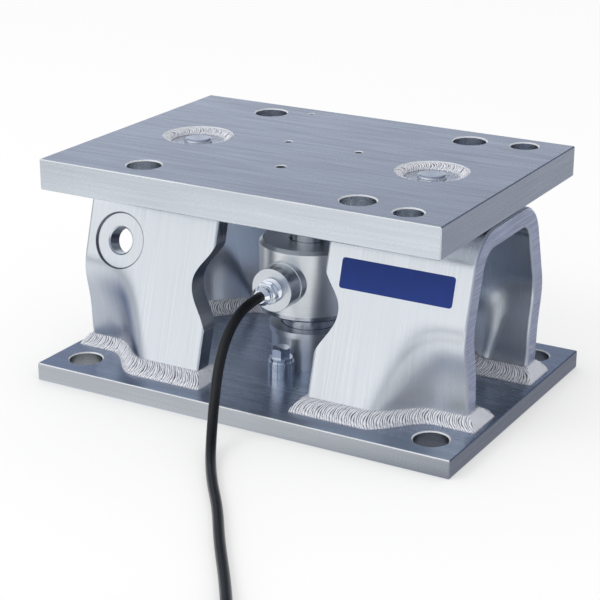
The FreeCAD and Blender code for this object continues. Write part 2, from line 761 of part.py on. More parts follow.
def nut(label, top, height, across_flats, bore):
    low = f"{top} - {height}"
    corner = f"{across_flats} / sqrt(3)"
    body = turned(label, [
        (bore, low), (f"{across_flats} / 2", low), (corner, f"{low} + nut_bevel"),
        (corner, f"{top} - nut_bevel"), (f"{across_flats} / 2", top), (bore, top),
    ])
    cut_to_hexagon(body, across_flats, low, top)
    return body


def holddowns():
    radius = "stud_size / 2"
    head = "sink_size / 2 - head_slack"
    bolt = turned("right_holddown_bolt", [
        ("0", "stud_low"), (f"{radius} - stud_chamfer", "stud_low"), (radius, "stud_low + stud_chamfer"),
        (radius, "sink_floor"), (head, "sink_floor"), (head, "head_top"), ("boss_size / 2", "head_top"),
        ("boss_size / 2", "head_top + boss_height"), ("0", "head_top + boss_height"),
    ])
    round_rim(bolt, "boss_size / 2", "head_top + boss_height", "boss_round")
    node(at(bolt, "stud_x"), "right_holddown_bolt")
    node(mirror_image(bolt, "left_holddown_bolt"), "left_holddown_bolt")
    weld = turned("holddown_weld", [
        ("sink_size / 2 - ring_weld_toe", "head_top"), ("sink_size / 2", "head_top"),
        ("sink_size / 2", "head_top + ring_weld_rise"),
    ])
    pair(at(weld, "stud_x"), "holddown_welds")
    washer = turned("holddown_washer", ring(radius, "washer_size / 2", "nut_top", "washer_top"))
    pair(at(washer, "stud_x"), "holddown_washers")
    pair(at(nut("holddown_nut", "nut_top", "nut_height", "nut_across", radius), "stud_x"), "holddown_nuts")
    locknut = nut("holddown_locknut", "locknut_top", "locknut_height", "nut_across", radius)
    pair(at(locknut, "stud_x"), "holddown_locknuts")


# Cups, discs and seals

def lower_receiver():
    seal_top = "cup_top - seal_lip"
    seal_low = f"{seal_top} - seal_height"
    groove = "cup_bore + seal_width"
    cup = turned("lower_receiver", [
        ("0", "base_thick - spigot_length"), ("spigot_radius", "base_thick - spigot_length"),
        ("spigot_radius", "base_thick"), ("cup_radius", "base_thick"),
        ("cup_radius", "cup_top - cup_flange"), ("cup_flange_radius", "cup_top - cup_flange"),
        ("cup_flange_radius", "cup_top"), ("cup_bore", "cup_top"), ("cup_bore", seal_top),
        (groove, seal_top), (groove, seal_low), ("cup_bore", seal_low), ("cup_bore", "disc_low"),
        ("0", "disc_low"),
    ])
    screws = two_sided("base_screw_x", "0", "base_screw_size / 2")
    round_holes(cup, screws, "base_thick + base_screw_bite", "base_screw_bite")
    node(cup, "lower_receiver")
    node(turned("lower_seal_ring", ring("neck_radius", groove, seal_low, seal_top)), "lower_seal_ring")
    disc = ring("0", "cup_bore - disc_slack", "disc_low", "column_low")
    node(turned("lower_bearing_disc", disc), "lower_bearing_disc")
    sink = "(base_screw_head - base_screw_size) / 2"
    screw = turned("base_screw", [
        ("0", "0"), ("base_screw_head / 2", "0"), ("base_screw_size / 2", sink),
        ("base_screw_size / 2", "base_thick + base_screw_bite"), ("0", "base_thick + base_screw_bite"),
    ])
    pair(at(screw, "base_screw_x"), "base_screws")


def upper_receiver():
    seal_low = "hood_low + seal_lip"
    seal_top = f"{seal_low} + seal_height"
    groove = "hood_bore + seal_width"
    flange = "top_under - hood_flange"
    hood = turned("upper_receiver", [
        ("0", "hood_seat"), ("hood_bore", "hood_seat"), ("hood_bore", seal_top), (groove, seal_top),
        (groove, seal_low), ("hood_bore", seal_low), ("hood_bore", "hood_low"), ("hood_radius", "hood_low"),
        ("hood_radius", flange), ("hood_flange_radius", flange), ("hood_flange_radius", "top_under"),
        ("0", "top_under"),
    ])
    screws = two_sided("hood_screw_x", "hood_screw_y", "hood_screw_size / 2")
    round_holes(hood, screws, "top_under", "hood_flange")
    node(hood, "upper_receiver")
    node(turned("upper_seal_ring", ring("head_radius", groove, seal_low, seal_top)), "upper_seal_ring")
    disc = ring("0", "hood_bore - disc_slack", "column_high", "hood_seat")
    node(turned("upper_bearing_disc", disc), "upper_bearing_disc")
    head_low = f"{flange} - hood_screw_head_height"
    screw = turned("receiver_screw", [
        ("0", head_low), ("hood_screw_head / 2", head_low), ("hood_screw_head / 2", flange),
        ("hood_screw_size / 2", flange), ("hood_screw_size / 2", "top_under + hood_screw_bite"),
        ("0", "top_under + hood_screw_bite"),
    ])
    pair(at(screw, "hood_screw_x", "hood_screw_y"), "receiver_screws")


# Load cell

def rocker_ball(name, centre):
    ball = DOC.addObject("Part::Sphere", name)
    bind(ball, "Radius", "rocker_radius")
    return at(ball, up=centre)


def load_cell_column():
    core = turned("column_blank", [
        ("0", "column_low"), ("neck_radius", "column_low"), ("neck_radius", "cell_low"),
        ("cell_radius - floor_chamfer", "cell_low"), ("cell_radius", "cell_low + floor_chamfer"),
        ("cell_radius", "wall_low"), ("column_radius", "wall_low"),
        ("column_radius", "board_low + board_drop / 2"), ("head_radius", "board_low + board_drop / 2"),
        ("head_radius", "column_high"), ("0", "column_high"),
    ])
    flats = new_sketch(core, "XY_Plane", "flat_low + flat_height")
    draw_outline(flats, rectangle("2 * column_flat", "2 * column_flat"))
    draw_circle(flats, "0", "0", "2 * column_radius")
    pocket(core, flats, "flat_height")
    column = DOC.addObject("Part::MultiCommon", "load_cell_column")
    column.Shapes = [
        core,
        rocker_ball("lower_ball", "column_low + rocker_radius"),
        rocker_ball("upper_ball", "column_high - rocker_radius"),
    ]
    node(column, "load_cell_column")


def strain_gauges():
    half = "gauge_width / 2"
    low = "flat_low + (flat_height - gauge_height) / 2"
    outside = "column_flat + gauge_thick"
    flats = [
        ("column_flat", f"-{half}", "gauge_thick", "gauge_width"),
        (f"-{half}", "column_flat", "gauge_width", "gauge_thick"),
        (f"-({outside})", f"-{half}", "gauge_thick", "gauge_width"),
        (f"-{half}", f"-({outside})", "gauge_width", "gauge_thick"),
    ]
    patches = []
    for number, (across, along, length, width) in enumerate(flats):
        patch = DOC.addObject("Part::Box", f"gauge_{number}")
        bind(patch, "Length", length)
        bind(patch, "Width", width)
        bind(patch, "Height", "gauge_height")
        patches.append(at(patch, across, along, low))
    group = DOC.addObject("Part::Compound", "strain_gauges")
    group.Links = patches
    node(group, "strain_gauges")


def canister():
    shell = turned("housing_blank", [
        ("wall_bore", "wall_low"), ("cell_radius", "wall_low"), ("cell_radius", "lid_low"),
        ("board_seat", "lid_low"), ("board_seat", "board_low"), ("wall_bore", "board_low"),
    ])
    way_out = DOC.addObject("Part::Cylinder", "wire_way")
    bind(way_out, "Radius", "wire_bore")
    bind(way_out, "Height", "2 * cell_radius")
    cut(shell, along_gland(way_out), "load_cell_housing")
    lid = turned("load_cell_lid", [
        ("head_radius + neck_slack", "lid_low"), ("cell_radius", "lid_low"),
        ("cell_radius", "cell_top - lid_chamfer"), ("cell_radius - lid_chamfer", "cell_top"),
        ("head_radius + neck_slack", "cell_top"),
    ])
    node(lid, "load_cell_lid")
    board = ring("board_bore", "board_seat - board_slack", "board_low", "board_low + board_thick")
    node(turned("signal_board", board), "signal_board")


# Cable boss and gland

def gland():
    root = "sqrt(cell_radius * cell_radius - boss_root_radius * boss_root_radius) - boss_sunk"
    thread_back = "boss_front - stub_thread"
    boss = turned("boss_blank", [
        ("wire_bore", root), ("boss_root_radius", root), ("boss_root_radius", "boss_root"),
        ("boss_radius", "boss_root"), ("boss_radius", "boss_front - boss_chamfer"),
        ("boss_radius - boss_chamfer", "boss_front"), ("stub_thread_radius", "boss_front"),
        ("stub_thread_radius", thread_back), ("wire_bore", thread_back),
    ])
    canister_side = DOC.addObject("Part::Cylinder", "canister_side")
    bind(canister_side, "Radius", "cell_radius")
    bind(canister_side, "Height", "cell_top")
    cut(along_gland(boss), canister_side, "cable_boss")
    bore = "cable_radius + cable_slack"
    body = turned("gland_body", [
        (bore, thread_back), ("stub_thread_radius", thread_back), ("stub_thread_radius", "boss_front"),
        ("stub_radius", "boss_front"), ("stub_radius", "stub_front"), (bore, "stub_front"),
    ])
    node(along_gland(body), "gland_body")
    corner = "gland_across / sqrt(3)"
    hexagon = "stub_front + gland_hex"
    seal_front = "stub_front + gland_seal_length"
    cap = turned("gland_nut", [
        ("gland_seal_radius", "stub_front"), (corner, "stub_front"), (corner, f"{hexagon} - hex_bevel"),
        ("gland_across / 2", hexagon), ("nozzle_radius", hexagon),
        ("nozzle_radius", "nozzle_front - nozzle_chamfer"),
        ("nozzle_radius - nozzle_chamfer", "nozzle_front"), (bore, "nozzle_front"), (bore, seal_front),
        ("gland_seal_radius", seal_front),
    ])
    cut_to_hexagon(cap, "gland_across", "stub_front", hexagon)
    node(along_gland(cap), "gland_nut")
    seal = turned("gland_seal", ring("cable_radius", "gland_seal_radius", "stub_front", seal_front))
    node(along_gland(seal), "gland_seal")
    entry = turned("cable_entry", ring("0", "cable_radius", "entry_start", "cable_start"))
    node(along_gland(entry), "cable_entry")


# Anti-rotation bolt

def anti_rotation():
    radius = "stop_bolt_size / 2"
    low = "base_thick - stop_bolt_bite"
    sleeve = turned("anti_rotation_sleeve",
                    ring(f"{radius} + stop_slack", "stop_sleeve_radius", "base_thick", "stop_flange_low"))
    node(at(sleeve, along="-stop_y"), "anti_rotation_sleeve")
    corner = "stop_across / sqrt(3)"
    top = "stop_head_low + stop_head"
    bolt = turned("anti_rotation_bolt", [
        ("0", low), (radius, low), (radius, "stop_flange_low"), ("stop_flange_radius", "stop_flange_low"),
        ("stop_flange_radius", "stop_head_low"), (corner, "stop_head_low"), (corner, f"{top} - hex_bevel"),
        ("stop_across / 2", top), ("0", top),
    ])
    cut_to_hexagon(bolt, "stop_across", "stop_head_low", top)
    node(at(bolt, along="-stop_y"), "anti_rotation_bolt")


# Cable

def rounded_path(points):
    """Straight runs joined by tangent arcs, each as large as its two runs allow."""
    spots = [FreeCAD.Vector(*point) for point in points]
    edges = []
    start = spots[0]
    for before, corner, after in zip(spots, spots[1:], spots[2:]):
        back = before - corner
        ahead = after - corner
        reach = ARC_SHARE * min(back.Length, ahead.Length)
        turn = math.pi - back.getAngle(ahead)
        radius = reach / math.tan(turn / 2)
        print(f"cable arc: turn {math.degrees(turn):.1f} degrees, radius {radius:.1f} mm")
        enter = corner + back * (reach / back.Length)
        leave = corner + ahead * (reach / ahead.Length)
        inward = enter + leave - corner * 2
        dip = radius / math.cos(turn / 2) - radius
        middle = corner + inward * (dip / inward.Length)
        edges.append(Part.makeLine(start, enter))
        edges.append(Part.Arc(enter, middle, leave).toShape())
        start = leave
    edges.append(Part.makeLine(start, spots[-1]))
    return Part.Wire(edges)


def tube(points, radius):
    path = rounded_path(points)
    start = FreeCAD.Vector(*points[0])
    heading = FreeCAD.Vector(*points[1]) - start
    ring_edge = Part.makeCircle(radius, start, heading)
    solid = path.makePipeShell([Part.Wire(ring_edge)], True, True)
    expected = math.pi * radius ** 2 * path.Length
    share = solid.Volume / expected
    print(f"cable stretch: {path.Length:.1f} mm long, volume {share:.4f} of section times length")
    return solid


def level(vector):
    return FreeCAD.Vector(vector.x, vector.y, 0)


def runs_along_y(edge):
    return abs(edge.tangentAt(edge.FirstParameter).y) > 0.99


def hoop(inner, width, low, height, rounding):
    """A flat ring about the Z axis with rounded edges."""
    bar = Part.makeBox(width, 1, height, FreeCAD.Vector(inner, 0, low))
    bar = bar.makeFillet(rounding, [edge for edge in bar.Edges if runs_along_y(edge)])
    section = next(face for face in bar.Faces if face.CenterOfMass.y < 1e-6)
    return section.revolve(FreeCAD.Vector(), FreeCAD.Vector(0, 0, 1), 360)


def cable():
    radius = value("cable_radius")
    lift = value("tie_thick")
    begin = -value("cable_start")
    axis = value("boss_axis")
    route = [(0, begin, axis), (0, begin - value("cable_straight"), axis)]
    route += [(across, begin - ahead, axis - below) for across, ahead, below in DROOP]
    route += [(across, along, radius + above) for across, along, above in FLOOR_RUN]
    route += [(across, along, radius + lift) for across, along in RUN_END]
    feature(tube(route, radius), "cable")

    # The coil lies flat past the end of the route and winds to the right from the route's last heading.
    end = FreeCAD.Vector(*route[-1])
    heading = (end - FreeCAD.Vector(*route[-2])).normalize()
    side = FreeCAD.Vector(heading.y, -heading.x, 0)
    turn_radius = value("coil_outer")
    centre = level(end) + heading * value("coil_lead") + side * turn_radius
    width = value("coil_steps * coil_pitch + cable_size")
    height = value("coil_pitch + cable_size")
    turns = hoop(value("coil_inner - cable_radius"), width, lift, height, value("coil_round"))
    turns.translate(centre)
    low = FreeCAD.Vector(0, 0, lift + radius)
    high = low + FreeCAD.Vector(0, 0, value("coil_pitch"))
    lead_in = Part.makeCylinder(radius, value("coil_lead"), level(end) + low, heading)
    leave = centre + heading * turn_radius
    lead_out = Part.makeCylinder(radius, value("coil_leave"), leave + high, side)
    coil = turns.fuse([lead_in, lead_out]).removeSplitter()
    feature(coil, "cable_coil")

    # One tie goes round the coil on the side away from where the cable comes in.
    tie_width = value("tie_width")
    corner = FreeCAD.Vector(value("coil_inner - cable_radius - tie_thick"), -tie_width / 2, 0)
    wrap = Part.makeBox(width + 2 * lift, tie_width, height + 2 * lift, corner)
    edges = [edge for edge in wrap.Edges if runs_along_y(edge)]
    wrap = wrap.makeFillet(value("coil_round + tie_thick"), edges)
    wrap.rotate(FreeCAD.Vector(), FreeCAD.Vector(0, 0, 1), math.degrees(math.atan2(side.y, side.x)))
    wrap.translate(centre)
    feature(wrap.cut(coil), "coil_tie")

    # The tail comes down from the upper layer and ends in a sleeve with bare cores.
    start = leave + side * value("coil_leave") + high
    bent = FreeCAD.Rotation(FreeCAD.Vector(0, 0, 1), -value("tail_turn")).multVec(side)
    brink = start + side * value("tail_level")
    landing = level(brink) + side * value("tail_slope") + FreeCAD.Vector(0, 0, radius + value("sleeve_thick"))
    tail = [start, brink, landing, landing + bent * value("tail_run")]
    feature(tube([tuple(spot) for spot in tail], radius), "cable_tail")
    tip = tail[-1]
    sleeve_start = tip - bent * value("sleeve_length - sleeve_over")
    sleeve = value("sleeve_length")
    outside = Part.makeCylinder(value("cable_radius + sleeve_thick"), sleeve, sleeve_start, bent)
    inside = Part.makeCylinder(radius, sleeve, sleeve_start, bent)
    feature(outside.cut(inside), "cable_end_sleeve")
    cores = []
    for number in range(4):
        spread = FreeCAD.Rotation(bent, 90 * number + 45).multVec(FreeCAD.Vector(0, 0, value("core_ring")))
        cores.append(Part.makeCylinder(value("core_size") / 2, value("core_length"), tip + spread, bent))
    feature(Part.makeCompound(cores), "cable_cores")


def check_and_write():
    DOC.recompute()
    for thing in DOC.Objects:
        if "Invalid" in thing.State or "Error" in thing.State:
            raise RuntimeError(f"{thing.Name} failed: {thing.State}")
    for thing in NODES:
        if thing.Shape.isNull() or not thing.Shape.isValid():
            raise RuntimeError(f"{thing.Label} has no valid shape")
    os.makedirs("parts", exist_ok=True)
    for thing in NODES:
        thing.Shape.exportStep(f"parts/{thing.Label}.step")


def main():
    fill_sheet()
    base_plate()
    top_plate()
    yokes()
    holddowns()
    lower_receiver()
    upper_receiver()
    load_cell_column()
    strain_gauges()
    canister()
    gland()
    anti_rotation()
    cable()
    check_and_write()


main()
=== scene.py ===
import math

import bmesh
import bpy
from mathutils import Matrix, Vector


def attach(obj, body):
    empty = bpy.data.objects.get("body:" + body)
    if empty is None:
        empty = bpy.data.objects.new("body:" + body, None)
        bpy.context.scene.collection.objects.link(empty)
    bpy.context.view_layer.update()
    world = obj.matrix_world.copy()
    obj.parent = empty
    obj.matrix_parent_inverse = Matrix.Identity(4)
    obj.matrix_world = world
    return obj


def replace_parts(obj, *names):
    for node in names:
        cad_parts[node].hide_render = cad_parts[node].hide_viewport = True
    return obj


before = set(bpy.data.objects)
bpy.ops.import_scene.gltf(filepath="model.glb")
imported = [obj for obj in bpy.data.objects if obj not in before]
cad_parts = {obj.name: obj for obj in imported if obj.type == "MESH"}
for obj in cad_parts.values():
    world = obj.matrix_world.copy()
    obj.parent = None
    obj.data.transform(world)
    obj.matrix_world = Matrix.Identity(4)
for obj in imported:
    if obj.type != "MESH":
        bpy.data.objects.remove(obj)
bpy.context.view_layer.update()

bl_info = {
    "name": "Weighing module",
    "version": (1, 0, 0),
    "blender": (4, 5, 0),
    "location": "View3D > Sidebar > Weighing module",
    "description": "Finishes, weld beads, cable and studio for a compression weighing module",
    "category": "Object",
}

MM = 0.001
# Axes and origin of the module.
ALONG = (1.0, 0.0, 0.0)
ACROSS = (0.0, 1.0, 0.0)
UP = (0.0, 0.0, 1.0)
MIDDLE = (0.0, 0.0, 0.0)
# Places of a mix node's inputs, which share their names: its share, then two numbers, vectors or colours.
SHARE = 0
NUMBER_A, NUMBER_B = 2, 3
VECTOR_A, VECTOR_B = 4, 5
COLOUR_A, COLOUR_B = 6, 7
# Nearly all of a noise's numbers lie between these.
NOISE_SPAN = {"From Min": 0.3, "From Max": 0.7}


def linear(hex_colour):
    """An sRGB hex value as the linear colour that a shader takes."""
    channels = [int(hex_colour[start:start + 2], 16) / 255 for start in (1, 3, 5)]
    curve = [low / 12.92 if low <= 0.04045 else ((low + 0.055) / 1.055) ** 2.4 for low in channels]
    return (*curve, 1.0)


def shade(colour, factor):
    """A colour made lighter or darker."""
    return (*[channel * factor for channel in colour[:3]], 1.0)


def add(tree, kind, links=None, stops=None, **settings):
    """Adds one shader node with its settings; links gives inputs as values, other nodes or their outputs.

    A node that is given as an input passes on the first of its outputs that is in use.
    """
    node = tree.nodes.new("ShaderNode" + kind)
    for name, setting in settings.items():
        setattr(node, name, setting)
    for name, source in (links or {}).items():
        if isinstance(source, bpy.types.Node):
            source = next(output for output in source.outputs if output.enabled)
        if isinstance(source, bpy.types.NodeSocket):
            tree.links.new(source, node.inputs[name])
        else:
            node.inputs[name].default_value = source
    for place, (position, colour) in enumerate(stops or []):
        elements = node.color_ramp.elements
        element = elements[place] if place < 2 else elements.new(position)
        element.position = position
        element.color = colour
    return node


# Sizes and colours

class ModuleSizes(bpy.types.PropertyGroup):
    """Sizes of the pieces that are made here."""
    cable_diameter: bpy.props.FloatProperty(
        name="Cable diameter", description="Outer diameter of the cable's jacket",
        default=6.5 * MM, unit="LENGTH", precision=4)
    coil_inner: bpy.props.FloatProperty(
        name="Coil inner radius", description="Radius of the coil's innermost turn",
        default=26.5 * MM, unit="LENGTH", precision=4)
    coil_pitch: bpy.props.FloatProperty(
        name="Coil pitch", description="Distance from turn to turn and from layer to layer",
        default=6.6 * MM, unit="LENGTH", precision=4)
    ripple_pitch: bpy.props.FloatProperty(
        name="Weld ripple pitch", description="Distance from one ripple of a weld bead to the next",
        default=1.6 * MM, unit="LENGTH", precision=4)
    ripple_height: bpy.props.FloatProperty(
        name="Weld ripple height", description="Height of the ripples of a weld bead",
        default=0.9 * MM, unit="LENGTH", precision=5)
    bead_bulge: bpy.props.FloatProperty(
        name="Weld bulge", description="How far a weld bead is crowned between its edges",
        default=0.4 * MM, unit="LENGTH", precision=5)
    thread_pitch: bpy.props.FloatProperty(
        name="Gland thread pitch", description="Pitch of the thread on the gland's stub",
        default=1.0 * MM, unit="LENGTH", precision=4)
    thread_height: bpy.props.FloatProperty(
        name="Gland thread height", description="Height of that thread above the stub",
        default=0.5 * MM, unit="LENGTH", precision=5)
    tag_length: bpy.props.FloatProperty(
        name="Tag length", description="Blank name tag along the yoke",
        default=76.1 * MM, unit="LENGTH", precision=4)
    tag_height: bpy.props.FloatProperty(
        name="Tag height", description="Blank name tag up the yoke's leg",
        default=19.06 * MM, unit="LENGTH", precision=4)
    tag_thickness: bpy.props.FloatProperty(
        name="Tag thickness", description="Thickness of the blank name tag",
        default=0.3 * MM, unit="LENGTH", precision=5)


class ModuleColours(bpy.types.PropertyGroup):
    """Colours of the finishes."""
    plate_steel: bpy.props.FloatVectorProperty(
        name="Plate steel", description="Ground stainless plate", size=4, subtype="COLOR",
        default=linear("#CDD2D9"))
    base_steel: bpy.props.FloatVectorProperty(
        name="Base steel", description="Ground base plate, left darker", size=4, subtype="COLOR",
        default=linear("#A6B1C4"))
    # Painted highlight on the plates' upward edges.
    broken_edge: bpy.props.FloatVectorProperty(
        name="Edge highlight", description="Painted highlight on the plates' upward edges", size=4, subtype="COLOR",
        default=linear("#F4F6F8"))
    plate_side: bpy.props.FloatVectorProperty(
        name="Plate sides", description="Sawn and ground sides of the plates", size=4, subtype="COLOR",
        default=linear("#DADFE4"))
    cut_end: bpy.props.FloatVectorProperty(
        name="Cut ends", description="Sawn ends of the yokes' sheet", size=4, subtype="COLOR",
        default=linear("#CED4E3"))
    yoke_steel: bpy.props.FloatVectorProperty(
        name="Yoke steel", description="Folded stainless sheet", size=4, subtype="COLOR",
        default=linear("#DEE2E6"))
    # Painted shade on the yokes' bends.
    die_mark: bpy.props.FloatVectorProperty(
        name="Painted bend shade", description="Painted shade on the yokes' bends", size=4, subtype="COLOR",
        default=linear("#5F6B85"))
    turned_steel: bpy.props.FloatVectorProperty(
        name="Turned steel", description="Turned stainless bar", size=4, subtype="COLOR",
        default=linear("#DBDFE4"))
    canister_steel: bpy.props.FloatVectorProperty(
        name="Canister steel", description="Finely turned canister", size=4, subtype="COLOR",
        default=linear("#E8EBED"))
    weld_metal: bpy.props.FloatVectorProperty(
        name="Weld metal", description="Stainless weld bead", size=4, subtype="COLOR",
        default=linear("#F4F5FB"))
    zinc: bpy.props.FloatVectorProperty(
        name="Zinc plating", description="Plated fasteners", size=4, subtype="COLOR",
        default=linear("#D3D9E3"))
    hardened_steel: bpy.props.FloatVectorProperty(
        name="Hardened steel", description="Bearing discs and column", size=4, subtype="COLOR",
        default=linear("#B9BDC4"))
    nickel: bpy.props.FloatVectorProperty(
        name="Nickel plating", description="Plated brass of the gland", size=4, subtype="COLOR",
        default=linear("#EEF2F8"))
    tag_blue: bpy.props.FloatVectorProperty(
        name="Tag blue", description="Anodised name tag", size=4, subtype="COLOR",
        default=linear("#2C489C"))
    jacket: bpy.props.FloatVectorProperty(
        name="Cable jacket", description="Cable jacket", size=4, subtype="COLOR",
        default=linear("#0F1012"))
    rubber: bpy.props.FloatVectorProperty(
        name="Rubber", description="Seals", size=4, subtype="COLOR",
        default=linear("#202124"))
    laminate: bpy.props.FloatVectorProperty(
        name="Laminate", description="Signal board", size=4, subtype="COLOR",
        default=linear("#1F5A36"))
    gauge_film: bpy.props.FloatVectorProperty(
        name="Gauge film", description="Strain gauges' backing", size=4, subtype="COLOR",
        default=linear("#B5782B"))


class ModuleStudio(bpy.types.PropertyGroup):
    """Camera and light."""
    lens: bpy.props.FloatProperty(
        name="Lens", description="Focal length in millimetres", default=104.87)
    azimuth: bpy.props.FloatProperty(
        name="Azimuth", description="Camera's turn from the front towards the right",
        default=math.radians(29.858), subtype="ANGLE")
    elevation: bpy.props.FloatProperty(
        name="Elevation", description="Camera's height as an angle",
        default=math.radians(20.138), subtype="ANGLE")
    roll: bpy.props.FloatProperty(
        name="Roll", description="Camera's roll", default=math.radians(0.133), subtype="ANGLE")
    place: bpy.props.FloatVectorProperty(
        name="Camera place", description="Where the camera stands",
        default=(0.531932, -0.940193, 0.448237), subtype="TRANSLATION", unit="LENGTH")
    key_power: bpy.props.FloatProperty(
        name="Key light", description="Power of the soft light at the front left",
        default=14.0, unit="POWER")
    floor_size: bpy.props.FloatProperty(
        name="Floor size", description="Width of the floor", default=12.0, unit="LENGTH")


# Finishes

def material(name, surface):
    """A material whose shader is built by a function of its node tree."""
    made = bpy.data.materials.new(name)
    made.use_nodes = True
    tree = made.node_tree
    tree.nodes.clear()
    add(tree, "OutputMaterial", {"Surface": surface(tree)})
    return made


def dress(made, *names):
    """Gives nodes of the frame a material."""
    for name in names:
        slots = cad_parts[name].data.materials
        slots.clear()
        slots.append(made)


def fading(tree, vector, direction, low, high):
    """How far a vector reaches in a direction, eased from 0 at low to 1 at high."""
    distance = add(tree, "VectorMath", {0: vector, 1: direction}, operation="DOT_PRODUCT")
    return add(tree, "MapRange", {
        "Value": distance, "From Min": low, "From Max": high}, interpolation_type="SMOOTHSTEP")


def ground_lines(tree, spread):
    """Noise drawn out into lines; spread is the size of one line along X, Y and Z."""
    where = add(tree, "TexCoord").outputs["Object"]
    inverse = [1 / size for size in spread]
    drawn = add(tree, "VectorMath", {0: where, 1: inverse}, operation="MULTIPLY")
    return add(tree, "TexNoise", {"Vector": drawn, "Scale": 1.0, "Detail": 3.0})


def ground_steel(tree, colour, lines, tangent, rough, anisotropic, contrast, depth, metallic=1.0):
    """Steel with grinding lines that change its colour, gloss and height a bit; light ones are smoother."""
    patches = ground_lines(tree, (60 * MM, 45 * MM, 45 * MM))
    both = add(tree, "Mix", {SHARE: 0.25, NUMBER_A: lines, NUMBER_B: patches})
    tone = add(tree, "MapRange", {"Value": both, **NOISE_SPAN})
    change = add(tree, "MapRange", {"Value": tone, "To Min": 1 - contrast, "To Max": 1 + contrast})
    tint = add(tree, "Mix", {
        SHARE: 1.0, COLOUR_A: colour, COLOUR_B: change}, data_type="RGBA", blend_type="MULTIPLY")
    gloss = add(tree, "MapRange", {
        "Value": lines, **NOISE_SPAN, "To Min": rough * 1.1, "To Max": rough * 0.9})
    relief = add(tree, "Bump", {"Height": lines, "Strength": 0.5, "Distance": depth})
    return add(tree, "BsdfPrincipled", {
        "Base Color": tint, "Metallic": metallic, "Roughness": gloss, "Anisotropic": anisotropic,
        "Tangent": tangent, "Normal": relief})


# How a plate's surfaces are told apart by their normals: how far a side's rises at most, how far a broken
# edge's does and by how much that varies, and the square along X over which a surface is an end, and under
# which a broken edge is a long one.
SIDE_RISE = 0.3
EDGE_RISE = 0.7
EDGE_RISE_HALF = 0.2
END_FACE = 0.5
LONG_EDGE = 0.3


def plate_finish(colour, side, edge, wall, anisotropic, outline):
    # Stainless plate ground along its length, and across on its ends. The real lines are about 0.1 mm
    # wide and are drawn 1 to 4 mm wide so that they show. They draw reflections out across the lines.
    # The long upper edges and the holes' rims carry a painted highlight, near white and less metallic.
    # Sides and drilled walls show fainter lines than the faces; the drilled walls carry painted shade.
    def surface(tree):
        normal = add(tree, "NewGeometry").outputs["Normal"]
        where = add(tree, "TexCoord").outputs["Object"]
        sides = add(tree, "VectorMath", {0: where}, operation="ABSOLUTE")
        beyond = add(tree, "VectorMath", {0: sides, 1: outline}, operation="SUBTRACT")
        past_end, past_side, _ = add(tree, "SeparateXYZ", {0: beyond}).outputs
        outside = add(tree, "Math", {0: past_end, 1: past_side}, operation="MAXIMUM")
        inside = add(tree, "Math", {0: outside, 1: 0.0}, operation="LESS_THAN")
        upward = add(tree, "VectorMath", {0: normal, 1: UP}, operation="DOT_PRODUCT")
        slope = add(tree, "Math", {0: upward}, operation="ABSOLUTE")
        upright = add(tree, "Math", {0: slope, 1: SIDE_RISE}, operation="LESS_THAN")
        sloped = add(tree, "Math", {0: upward, 1: EDGE_RISE, 2: EDGE_RISE_HALF}, operation="COMPARE")
        endwise = add(tree, "VectorMath", {0: normal, 1: ALONG}, operation="DOT_PRODUCT")
        end_share = add(tree, "Math", {0: endwise, 1: endwise}, operation="MULTIPLY")
        lengthwise = add(tree, "Math", {0: end_share, 1: LONG_EDGE}, operation="LESS_THAN")
        worked = add(tree, "Math", {0: inside, 1: lengthwise}, operation="MAXIMUM")
        # Painted highlight: upward broken edges along the length and round the holes are near white and less
        # metallic.
        broken = add(tree, "Math", {0: sloped, 1: worked}, operation="MULTIPLY")
        on_end = add(tree, "Math", {0: end_share, 1: END_FACE}, operation="GREATER_THAN")
        # Painted shade: the end faces take the sides' colour darkened to 0.82.
        sawn = add(tree, "Mix", {
            SHARE: on_end, COLOUR_A: side, COLOUR_B: shade(side, 0.82)}, data_type="RGBA")
        walls = add(tree, "Mix", {SHARE: inside, COLOUR_A: sawn, COLOUR_B: wall}, data_type="RGBA")
        faces = add(tree, "Mix", {SHARE: upright, COLOUR_A: colour, COLOUR_B: walls}, data_type="RGBA")
        steel = add(tree, "Mix", {SHARE: broken, COLOUR_A: faces, COLOUR_B: edge}, data_type="RGBA")
        calm = add(tree, "Math", {0: upright, 1: 0.55}, operation="MULTIPLY")
        long_lines = add(tree, "Mix", {
            SHARE: calm, NUMBER_A: ground_lines(tree, (60 * MM, 3.5 * MM, 1.8 * MM)), NUMBER_B: 0.5})
        lines = add(tree, "Mix", {
            SHARE: on_end, NUMBER_A: long_lines,
            NUMBER_B: ground_lines(tree, (1.0 * MM, 60 * MM, 1.4 * MM))})
        grain = add(tree, "Mix", {SHARE: on_end, VECTOR_A: ALONG, VECTOR_B: ACROSS}, data_type="VECTOR")
        tangent = add(tree, "VectorMath", {0: normal, 1: grain}, operation="CROSS_PRODUCT")
        filed = add(tree, "MapRange", {"Value": broken, "To Min": 1.0, "To Max": 0.25})
        return ground_steel(
            tree, steel, lines, tangent, rough=0.28, anisotropic=anisotropic, contrast=0.1,
            depth=0.006 * MM, metallic=filed)
    return surface


# The spot face on the left yoke's front leg: its middle, its axis and the radius and width of its edge,
# where a ring of painted shade lies.
SPOT_MIDDLE = (-113 * MM, -54.6 * MM, 90.2 * MM)
SPOT_AXIS = (0.0, -0.96, 0.28)
SPOT_EDGE = 18.45 * MM
SPOT_EDGE_HALF = 0.5 * MM
# The painted shade on the bend beside a pressed corner: where it is darkest along X at the floor, how far it
# leans out with height, and how far it runs towards the cell and towards the yoke's end.
BEND = 84.2 * MM
BEND_LEAN = 0.42
BEND_INWARD = 17 * MM
BEND_OUTWARD = 24 * MM
# The shares of that painted shade that are left towards the yoke's end and on the right yoke.
MARK_OUTER = 0.42
MARK_RIGHT = 0.3
# Heights where the painted shade begins and is full, and where the painted light by the right yoke's welds
# does.
MARK_HEIGHTS = (80 * MM, 52 * MM)
ETCH_HEIGHTS = (62 * MM, 34 * MM)
